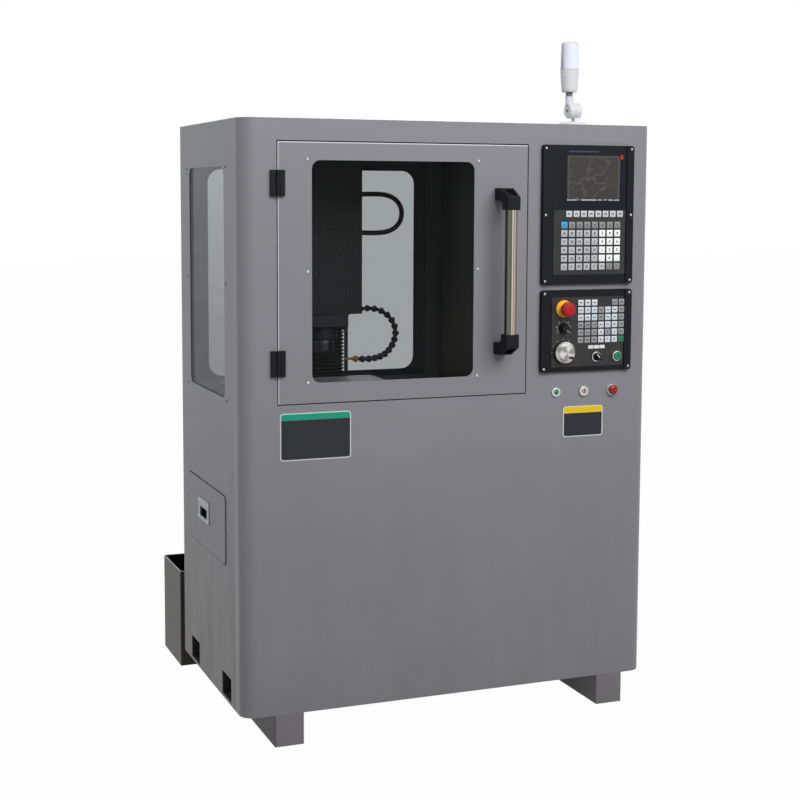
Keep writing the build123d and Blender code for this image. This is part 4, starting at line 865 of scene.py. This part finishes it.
class MILL_OT_motor_conduit(bpy.types.Operator):
    """Smooth black conduit that loops out of the head cover and back in"""

    bl_idname = "mill.motor_conduit"
    bl_label = "Motor Conduit"

    def execute(self, context):
        depth = 450
        route = [
            (-156.4, 1521), (-92, 1525), (-24, 1521), (12, 1488),
            (12, 1441), (-24, 1408), (-92, 1404), (-156.4, 1408),
        ]
        curve = bpy.data.curves.new("motor_conduit_loop", "CURVE")
        curve.dimensions = "3D"
        line = curve.splines.new("NURBS")
        line.points.add(len(route) - 1)
        for point, (x, z) in zip(line.points, route):
            point.co = (*at(x, depth, z), 1.0)
        line.order_u = 3
        line.use_endpoint_u = True
        line.resolution_u = 16
        curve.bevel_depth = 0.0075
        curve.bevel_resolution = 6
        curve.use_fill_caps = True
        rubber = Finish("conduit_rubber")
        grain = rubber.noise(400.0, 2.0)
        rubber.colour = grain.blend(rgb(18, 18, 20), rgb(30, 30, 33))
        rubber.rough = 0.4 + grain * 0.14
        rubber.bump(grain, 0.0001, 0.4)
        curve.materials.append(rubber.done())
        loop = new_object("motor_conduit_loop", curve)
        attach(loop, "head")
        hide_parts("motor_conduit")
        tuple(at(-156.4, 450, 1521))
        return {"FINISHED"}


def dome_head(shape, point, direction, radius, rise, steps=24):
    """A domed screw head with a round socket."""
    profile = [
        (0.0, rise * 0.45),
        (radius * 0.36, rise * 0.45),
        (radius * 0.4, rise * 0.96),
        (radius * 0.62, rise * 0.86),
        (radius * 0.86, rise * 0.52),
        (radius, 0.0),
    ]
    turned(shape, profile, facing(point, direction), steps)


class MILL_OT_window_screws(bpy.types.Operator):
    """Domed steel screws round the door's and the side's panes"""

    bl_idname = "mill.window_screws"
    bl_label = "Window Screws"

    def execute(self, context):
        radius = context.scene.mill_trim.screw_head / 2
        door_rise, side_rise = 0.0034, 0.0030
        door_columns, door_rows = (-436, 68), (1617, 1314, 1011)
        side_columns, side_rows = (147, 600), (952, 1276, 1597)
        door = bmesh.new()
        for x in door_columns:
            for z in door_rows:
                dome_head(door, at(x, 0, z), OUT, radius, door_rise)
        # painted light and shade: the door's screws get a lighter copy of the steel than the
        # side's
        bright = rgb(190, 190, 192)
        steel = ground_metal("screw_steel_bright", bright, 0.2, scale=400.0, mark=0.2)
        finish_piece("door_screws", door, steel, "door")
        side = bmesh.new()
        for y in side_columns:
            for z in side_rows:
                dome_head(side, at(LEFT_FACE, y, z), LEFT, radius, side_rise)
        # painted shade: the side's screws get a darker, rougher copy of the door screws' steel
        dull_and_shaded = ground_metal("screw_steel_dull_and_shaded", rgb(112, 112, 116), 0.4, scale=400.0)
        finish_piece("side_screws", side, dull_and_shaded)
        return {"FINISHED"}


class MILL_OT_bezel_screws(bpy.types.Operator):
    """Small domed screws in the bezels' rails"""

    bl_idname = "mill.bezel_screws"
    bl_label = "Bezel Screws"

    def execute(self, context):
        radius, rise = 0.0036, 0.0012
        columns, rows = (273, 550), (1656, 1466, 1276, 1240, 1022)
        steel = ground_metal("bezel_screw_steel", rgb(176, 174, 170), mark=0.2)
        shape = bmesh.new()
        for x in columns:
            for z in rows:
                dome_head(shape, at(x, RAIL_FACE, z), OUT, radius, rise, 20)
        finish_piece("bezel_screws", shape, steel)
        return {"FINISHED"}


def keys_toned(tone, keys, rows, columns):
    """Places of the keys that have one tone, row by row."""
    return [
        (x, z) for row, z in zip(keys, rows) for key, x in zip(row, columns) if key == tone
    ]


class MILL_OT_key_caps(bpy.types.Operator):
    """Plain coloured caps on both keypads"""

    bl_idname = "mill.key_caps"
    bl_label = "Key Caps"

    def execute(self, context):
        thick = 0.0009
        bevel = 0.0004
        width = context.scene.mill_trim.key_cap
        upper = (width, thick, width - 0.0005)
        lower = (width - 0.0015, thick, width - 0.002)
        soft = (width - 0.0005, thick, width - 0.0017)

        def top(tone):
            return keys_toned(tone, UPPER_KEYS, UPPER_KEY_Z, UPPER_KEY_X)

        def foot(tone):
            return keys_toned(tone, LOWER_KEYS, LOWER_KEY_Z, LOWER_KEY_X)

        row = [(x, SOFT_KEY_Z) for x in SOFT_KEY_X]
        for name, places, size, plastic, colour in (
            ("upper_caps_white", top("w"), upper, "cap_white", rgb(250, 252, 254)),
            ("upper_caps_light", top("l"), upper, "cap_light", rgb(188, 191, 193)),
            ("upper_caps_grey", top("g"), upper, "cap_grey", rgb(138, 139, 141)),
            ("upper_cap_blue", top("b"), upper, "cap_blue", rgb(72, 160, 216)),
            ("soft_caps", row, soft, "cap_soft", rgb(206, 210, 212)),
            ("lower_caps_white", foot("w"), lower, "cap_pale", rgb(214, 222, 230)),
            ("lower_caps_grey", foot("g"), lower, "cap_dull", rgb(150, 152, 154)),
            ("lower_cap_green", foot("n"), lower, "cap_green", rgb(30, 120, 88)),
        ):
            blocks = [(at(x, KEY_FACE - thick / MM / 2, z), size) for x, z in places]
            skin = moulded(plastic, colour, 0.42, 500.0, 0.00003)
            block_piece(name, blocks, skin, bevel, 2)
        return {"FINISHED"}


def key_signs():
    """The sign on each key, with its place and its size."""
    large, medium, small = 0.011, 0.009, 0.008
    letters = iter("ABCDEFGHIJKLMNOPQRSTUVWXY")
    digits = ("789", "456", "123", "-0.", "=/*")
    signs = []
    for row, z in enumerate(UPPER_KEY_Z[1:]):
        for column, x in enumerate(UPPER_KEY_X):
            text = next(letters) if column < 5 else digits[row][column - 5]
            signs.append((text, x, z, large))
    for number, x in enumerate(SOFT_KEY_X):
        signs.append((f"F{number + 1}", x, SOFT_KEY_Z, medium))
    for x in UPPER_KEY_X:
        signs.append(("||", x, UPPER_KEY_Z[0], small))
    for row, z in enumerate(LOWER_KEY_Z):
        for column, x in enumerate(LOWER_KEY_X):
            if LOWER_KEYS[row][column] in " n":
                continue
            text = "=="
            if row > 2 and 2 < column < 6:
                text = "XYZ"[column - 3] + ("+", "", "-")[row - 3]
            signs.append((text, x, z, small))
    return signs


class MILL_OT_key_prints(bpy.types.Operator):
    """Plain letters, digits and signs on the key caps"""

    bl_idname = "mill.key_prints"
    bl_label = "Key Prints"

    def execute(self, context):
        shape = bmesh.new()
        for text, x, z, size in key_signs():
            curve = bpy.data.curves.new("print", "FONT")
            curve.body = text
            curve.size = size
            curve.extrude = 0.00005
            curve.offset = 0.00035
            curve.resolution_u = 2
            curve.align_x = "CENTER"
            curve.align_y = "CENTER"
            item = bpy.data.objects.new("print", curve)
            flat = bpy.data.meshes.new_from_object(item)
            place = Matrix.Translation(at(x, KEY_FACE - 0.93, z))
            flat.transform(place @ Matrix.Rotation(pi / 2, 4, "X"))
            shape.from_mesh(flat)
            bpy.data.objects.remove(item)
            bpy.data.meshes.remove(flat)
            bpy.data.curves.remove(curve)
        ink = moulded("print_ink", rgb(42, 44, 48), 0.5)
        finish_piece("key_prints", shape, ink)
        return {"FINISHED"}


class MILL_OT_screen_trim(bpy.types.Operator):
    """Plain strip over the screen and the red tab of its protective film"""

    bl_idname = "mill.screen_trim"
    bl_label = "Screen Trim"

    def execute(self, context):
        low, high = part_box("display_screen")
        front = at(0, SCREEN_FACE, 0).y
        width = high.x - low.x
        strip_size = (width * 0.56, 0.0003, 0.005)
        tab_size = (0.0085, 0.0004, 0.0125)
        strip = Vector((low.x + width * 0.30, front, high.z + 0.010))
        tab = Vector((high.x + 0.002, front, high.z - 0.005))
        blue = moulded("strip_blue_grey", rgb(50, 56, 74), 0.4)
        block_piece("screen_strip", [(strip, strip_size)], blue)
        red = moulded("tab_red", rgb(190, 36, 44), 0.4)
        block_piece("film_tab", [(tab, tab_size)], red, 0.0001)
        return {"FINISHED"}


class MILL_OT_door_seal_and_shade(bpy.types.Operator):
    """Black rubber seal deep in the gap round the door, also standing in for the shade in that gap
    """

    bl_idname = "mill.door_seal"
    bl_label = "Door Seal"

    def execute(self, context):
        low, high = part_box("door_panel")
        gap = 0.0026
        thick = gap - 0.0004
        deep = 0.004
        depth = at(0, SEAL_DEPTH, 0).y
        middle = (low + high) / 2
        upright = (thick, deep, high.z - low.z + 2 * gap)
        level = (high.x - low.x, deep, thick)
        blocks = [
            (Vector((low.x - gap / 2, depth, middle.z)), upright),
            (Vector((high.x + gap / 2, depth, middle.z)), upright),
            (Vector((middle.x, depth, low.z - gap / 2)), level),
            (Vector((middle.x, depth, high.z + gap / 2)), level),
        ]
        # painted shade: the near black seal darkens the gap round the door
        rubber = moulded("seal_rubber_and_shade", rgb(10, 10, 11), 0.7, shine=0.1)
        block_piece("door_seal_and_shade", blocks, rubber, 0.0004)
        return {"FINISHED"}


class MILL_OT_marker_tags(bpy.types.Operator):
    """Three blank white marker tags over the selector"""

    bl_idname = "mill.marker_tags"
    bl_label = "Marker Tags"

    def execute(self, context):
        size = (0.0172, 0.0008, 0.0098)
        columns, row = (426, 444.5, 463), 1082
        blocks = [(at(x, FILM_FACE - size[1] / MM / 2, row), size) for x in columns]
        white = moulded("tag_white", rgb(232, 234, 236), 0.4)
        block_piece("marker_tags", blocks, white, 0.0003)
        return {"FINISHED"}


def scale_mark(shape, centre_z, reach, turn, size):
    """A printed line of a round scale, along its radius at an angle in degrees."""
    angle = radians(turn)
    middle = at(DIAL_X + reach * cos(angle), FILM_FACE - 0.1, centre_z + reach * sin(angle))
    block(shape, Matrix.Translation(middle) @ Matrix.Rotation(-angle, 4, "Y"), size)


def pointer(name, middle, size, material, body):
    """A printed line on a knob's face that points up and to the left."""
    shape = bmesh.new()
    spin = Matrix.Rotation(radians(50), 4, "Y")
    block(shape, Matrix.Translation(middle) @ spin, size, 0.00015)
    finish_piece(name, shape, material, body)


class MILL_OT_dial_marks(bpy.types.Operator):
    """White scale marks round the feed knob and the handwheel, and the pointers"""

    bl_idname = "mill.dial_marks"
    bl_label = "Dial Marks"

    def execute(self, context):
        knob_reach, arc_reach, wheel_reach = 24, 19.5, 36.5
        knob_mark = (0.0042, 0.0002, 0.0012)
        wheel_mark = (0.0036, 0.0002, 0.0012)
        arc_mark = (0.0008, 0.0002, 0.0019)
        lowest_mark = -10  # the handwheel's scale has no marks further under its middle
        white = moulded("mark_white", rgb(214, 214, 212), 0.5)
        marks = bmesh.new()
        for turn in range(-120, 121, 40):
            scale_mark(marks, FEED_KNOB_Z, knob_reach, 90 - turn, knob_mark)
        for turn in range(0, 360, 30):
            if wheel_reach * sin(radians(turn)) >= lowest_mark:
                scale_mark(marks, HANDWHEEL_Z, wheel_reach, turn, wheel_mark)
        finish_piece("scale_marks", marks, white)
        arc = bmesh.new()
        for turn in range(-130, 131, 5):
            scale_mark(arc, FEED_KNOB_Z, arc_reach, 90 - turn, arc_mark)
        finish_piece("feed_scale_arc", arc, white)
        spot = at(442.2, FILM_FACE - 18.4, 1056.8)
        pointer("selector_pointer", spot, (0.014, 0.0004, 0.0026), white, "selector")
        spot = at(DIAL_X + 5, FILM_FACE - 18.5, FEED_KNOB_Z - 6)
        pointer("feed_pointer", spot, (0.006, 0.0004, 0.0016), white, "feed_override")
        return {"FINISHED"}


def round_sheet(shape, middle, width, height, thick, radius):
    """A thin sheet facing the front with rounded corners."""
    steps = 6
    ring = []
    for quarter, (side, rise) in enumerate(((1, 1), (-1, 1), (-1, -1), (1, -1))):
        for step in range(steps + 1):
            angle = pi / 2 * (quarter + step / steps)
            x = side * (width / 2 - radius) + radius * cos(angle)
            z = rise * (height / 2 - radius) + radius * sin(angle)
            ring.append(shape.verts.new(middle + Vector((x, -thick / 2, z))))
    face = shape.faces.new(ring)
    pushed = bmesh.ops.extrude_face_region(shape, geom=[face])["geom"]
    corners = [part for part in pushed if isinstance(part, bmesh.types.BMVert)]
    bmesh.ops.translate(shape, vec=(0, thick, 0), verts=corners)


def bare_plate(name, x_range, z_range, header, header_colour, field_colour):
    """A thin plate with a pale border, a coloured header strip and a plain field."""
    corner = 0.009
    border = 0.003
    pale = rgb(206, 208, 208)
    shape = bmesh.new()
    width = (x_range[1] - x_range[0]) * MM
    height = (z_range[1] - z_range[0]) * MM
    middle = at(sum(x_range) / 2, -0.4, sum(z_range) / 2)
    round_sheet(shape, middle, width, height, 0.0006, corner)
    skin = Finish(name + "_print", shine=0.3)
    beyond_x = (abs(skin.axis("X") - middle.x) - (width / 2 - corner)).maths("MAXIMUM", 0.0)
    beyond_z = (abs(skin.axis("Z") - middle.z) - (height / 2 - corner)).maths("MAXIMUM", 0.0)
    inner = (beyond_x**2 + beyond_z**2) < (corner - border) ** 2
    strip = skin.axis("Z") > (z_range[1] * MM - border - header)
    fade = skin.noise(22.0, 2.0)
    skin.colour = inner.blend(pale, strip.blend(field_colour, header_colour))
    skin.rough = 0.34 + fade * 0.12
    skin.bump(fade, 0.0002, 0.3)
    finish_piece(name, shape, skin.done())


class MILL_OT_bare_plates(bpy.types.Operator):
    """Two plain plates on the front, with no words"""

    bl_idname = "mill.bare_plates"
    bl_label = "Bare Plates"

    def execute(self, context):
        green, yellow = rgb(14, 148, 120), rgb(230, 192, 26)
        black, blue_black = rgb(28, 30, 32), rgb(28, 30, 38)
        bare_plate("green_plate", (-516, -312), (799, 930), 0.017, green, black)
        bare_plate("yellow_plate", (344, 475), (818, 909), 0.018, yellow, blue_black)
        return {"FINISHED"}


class MILL_OT_lamp_bolt(bpy.types.Operator):
    """Socket bolt in the lamp's folding knuckle"""

    bl_idname = "mill.lamp_bolt"
    bl_label = "Lamp Bolt"

    def execute(self, context):
        shape = bmesh.new()
        socket = [(0.0, -0.0012), (0.0022, -0.0012)]
        profile = [*socket, (0.0026, 0.0006), (0.0044, 0.0005), (0.005, -0.0004)]
        knuckle = at(384.6, 80, 1768)
        turned(shape, profile, facing(knuckle, LEFT), 24)
        steel = ground_metal("lamp_bolt_steel", rgb(96, 97, 100))
        finish_piece("lamp_bolt", shape, steel, "signal_lamp")
        return {"FINISHED"}


class MILL_OT_handwheel_peg(bpy.types.Operator):
    """Black finger peg on the handwheel's dial"""

    bl_idname = "mill.handwheel_peg"
    bl_label = "Handwheel Peg"

    def execute(self, context):
        shape = bmesh.new()
        crown = [(0.0, 0.0095), (0.0026, 0.0092), (0.0042, 0.0074)]
        profile = [*crown, (0.0044, 0.005), (0.0036, 0.002), (0.0045, 0.0)]
        foot = at(DIAL_X + 11, FILM_FACE - 28.3, HANDWHEEL_Z - 14)
        turned(shape, profile, facing(foot, OUT), 24)
        black = moulded("peg_black", rgb(18, 18, 20), 0.3)
        finish_piece("handwheel_peg", shape, black, "handwheel")
        return {"FINISHED"}


def seen_rays(tree):
    """1 for a ray from the camera, off a gloss or through a pane, and 0 for the rest."""
    path = tree.nodes.new("ShaderNodeLightPath")
    camera, glossy, through = (
        Wire(tree, path.outputs[f"Is {kind} Ray"]) for kind in ("Camera", "Glossy", "Transmission")
    )
    return (camera + glossy + through).clamp()


def studio_floor():
    """A wide floor that is matt for the light and white for the camera."""
    half_width = 30.0
    drop = 0.0005
    shape = bmesh.new()
    bmesh.ops.create_grid(shape, x_segments=1, y_segments=1, size=half_width)
    bmesh.ops.translate(shape, vec=(0, 0, -drop), verts=shape.verts)
    mesh = new_mesh("studio_floor", shape)
    floor = new_object("studio_floor", mesh)
    material = bpy.data.materials.new("studio_floor_white")
    material.use_nodes = True
    tree = material.node_tree
    tree.nodes.remove(tree.nodes["Principled BSDF"])
    seen = seen_rays(tree)
    matt = seen.node("ShaderNodeBsdfDiffuse", {"Color": (0.34, 0.33, 0.32, 1.0)})
    white = seen.node("ShaderNodeEmission", {"Color": WHITE, "Strength": 1.0})
    mixed = seen.node("ShaderNodeMixShader", {0: seen * 0.985, 1: matt, 2: white})
    tree.links.new(mixed.socket, tree.nodes["Material Output"].inputs["Surface"])
    mesh.materials.append(material)


def studio_world(scene, ambient):
    """Even light from all round, and plain white where the camera sees past the floor."""
    world = bpy.data.worlds.new("studio_world")
    world.use_nodes = True
    scene.world = world
    tree = world.node_tree
    background = tree.nodes["Background"]
    background.inputs["Color"].default_value = WHITE
    strength = seen_rays(tree) * (1.0 - ambient) + ambient
    tree.links.new(strength.socket, background.inputs["Strength"])


def softbox(name, place, aim, size, power):
    """A rectangular light at a place, aimed at a point."""
    light = bpy.data.lights.new(name, "AREA")
    light.shape = "RECTANGLE"
    light.size, light.size_y = size
    light.energy = power
    item = new_object(name, light)
    item.location = place
    item.rotation_mode = "QUATERNION"
    item.rotation_quaternion = (Vector(aim) - Vector(place)).to_track_quat("-Z", "Y")


def photo_camera():
    """The camera at the photograph's place and angle."""
    camera = bpy.data.cameras.new("photo_camera")
    camera.sensor_width = 36.0
    camera.lens = LENS
    camera.shift_y = LENS_SHIFT
    camera.clip_end = 200.0
    item = new_object("photo_camera", camera)
    yaw, pitch, roll = (radians(turn) for turn in CAMERA_TURNS)
    forward = Vector((sin(yaw) * cos(pitch), cos(yaw) * cos(pitch), sin(pitch)))
    right = Vector((cos(yaw), -sin(yaw), 0.0))
    up = right.cross(forward)
    across = cos(roll) * right + sin(roll) * up
    rise = cos(roll) * up - sin(roll) * right
    turn = Matrix((across, rise, -forward)).transposed()
    item.matrix_world = Matrix.Translation(at(*CAMERA_SPOT)) @ turn.to_4x4()
    return item


class MILL_OT_studio(bpy.types.Operator):
    """Pale floor, even studio light and the camera at the photograph's angle"""

    bl_idname = "mill.studio"
    bl_label = "Studio"

    def execute(self, context):
        scene = context.scene
        settings = scene.mill_stage
        power = settings.key_power
        studio_floor()
        studio_world(scene, settings.ambient)
        softbox("front_softbox", (0.8, -4.4, 4.0), (0.1, 0, 1.2), (4.0, 2.4), power)
        softbox("left_softbox", (-4.0, 0.6, 4.4), (0, 0.2, 1.3), (2.4, 1.6), power * 0.3)
        scene.camera = photo_camera()
        scene.view_settings.view_transform = "Standard"
        return {"FINISHED"}


OPERATORS = (
    MILL_OT_motor_conduit,
    MILL_OT_way_bellows,
    MILL_OT_cabinet_paint,
    MILL_OT_tank_paint,
    MILL_OT_windows,
    MILL_OT_hardware,
    MILL_OT_panels,
    MILL_OT_controls,
    MILL_OT_lamp,
    MILL_OT_mill_castings,
    MILL_OT_coolant_lines,
    MILL_OT_window_screws,
    MILL_OT_bezel_screws,
    MILL_OT_key_caps,
    MILL_OT_key_prints,
    MILL_OT_screen_trim,
    MILL_OT_door_seal_and_shade,
    MILL_OT_marker_tags,
    MILL_OT_dial_marks,
    MILL_OT_bare_plates,
    MILL_OT_lamp_bolt,
    MILL_OT_handwheel_peg,
    MILL_OT_studio,
)


class MILL_PT_looks(bpy.types.Panel):
    """Sidebar list of the machine's pieces and finishes"""

    bl_label = "Milling Machine"
    bl_idname = "MILL_PT_looks"
    bl_space_type = "VIEW_3D"
    bl_region_type = "UI"
    bl_category = "Milling Machine"

    def draw(self, context):
        layout = self.layout
        for group in ("mill_cabinet", "mill_trim", "mill_stage"):
            settings = getattr(context.scene, group)
            for name in settings.__annotations__:
                layout.prop(settings, name)
        for operator in OPERATORS:
            layout.operator(operator.bl_idname)


CLASSES = (CabinetSettings, TrimSettings, StageSettings, *OPERATORS, MILL_PT_looks)


def register():
    for item in CLASSES:
        bpy.utils.register_class(item)
    bpy.types.Scene.mill_cabinet = bpy.props.PointerProperty(type=CabinetSettings)
    bpy.types.Scene.mill_trim = bpy.props.PointerProperty(type=TrimSettings)
    bpy.types.Scene.mill_stage = bpy.props.PointerProperty(type=StageSettings)


def unregister():
    for name in ("mill_cabinet", "mill_trim", "mill_stage"):
        delattr(bpy.types.Scene, name)
    for item in reversed(CLASSES):
        bpy.utils.unregister_class(item)


def main():
    """Makes every piece and finish in order."""
    register()
    for operator in OPERATORS:
        group, name = operator.bl_idname.split(".")
        getattr(getattr(bpy.ops, group), name)()


if __name__ == "__main__":
    main()
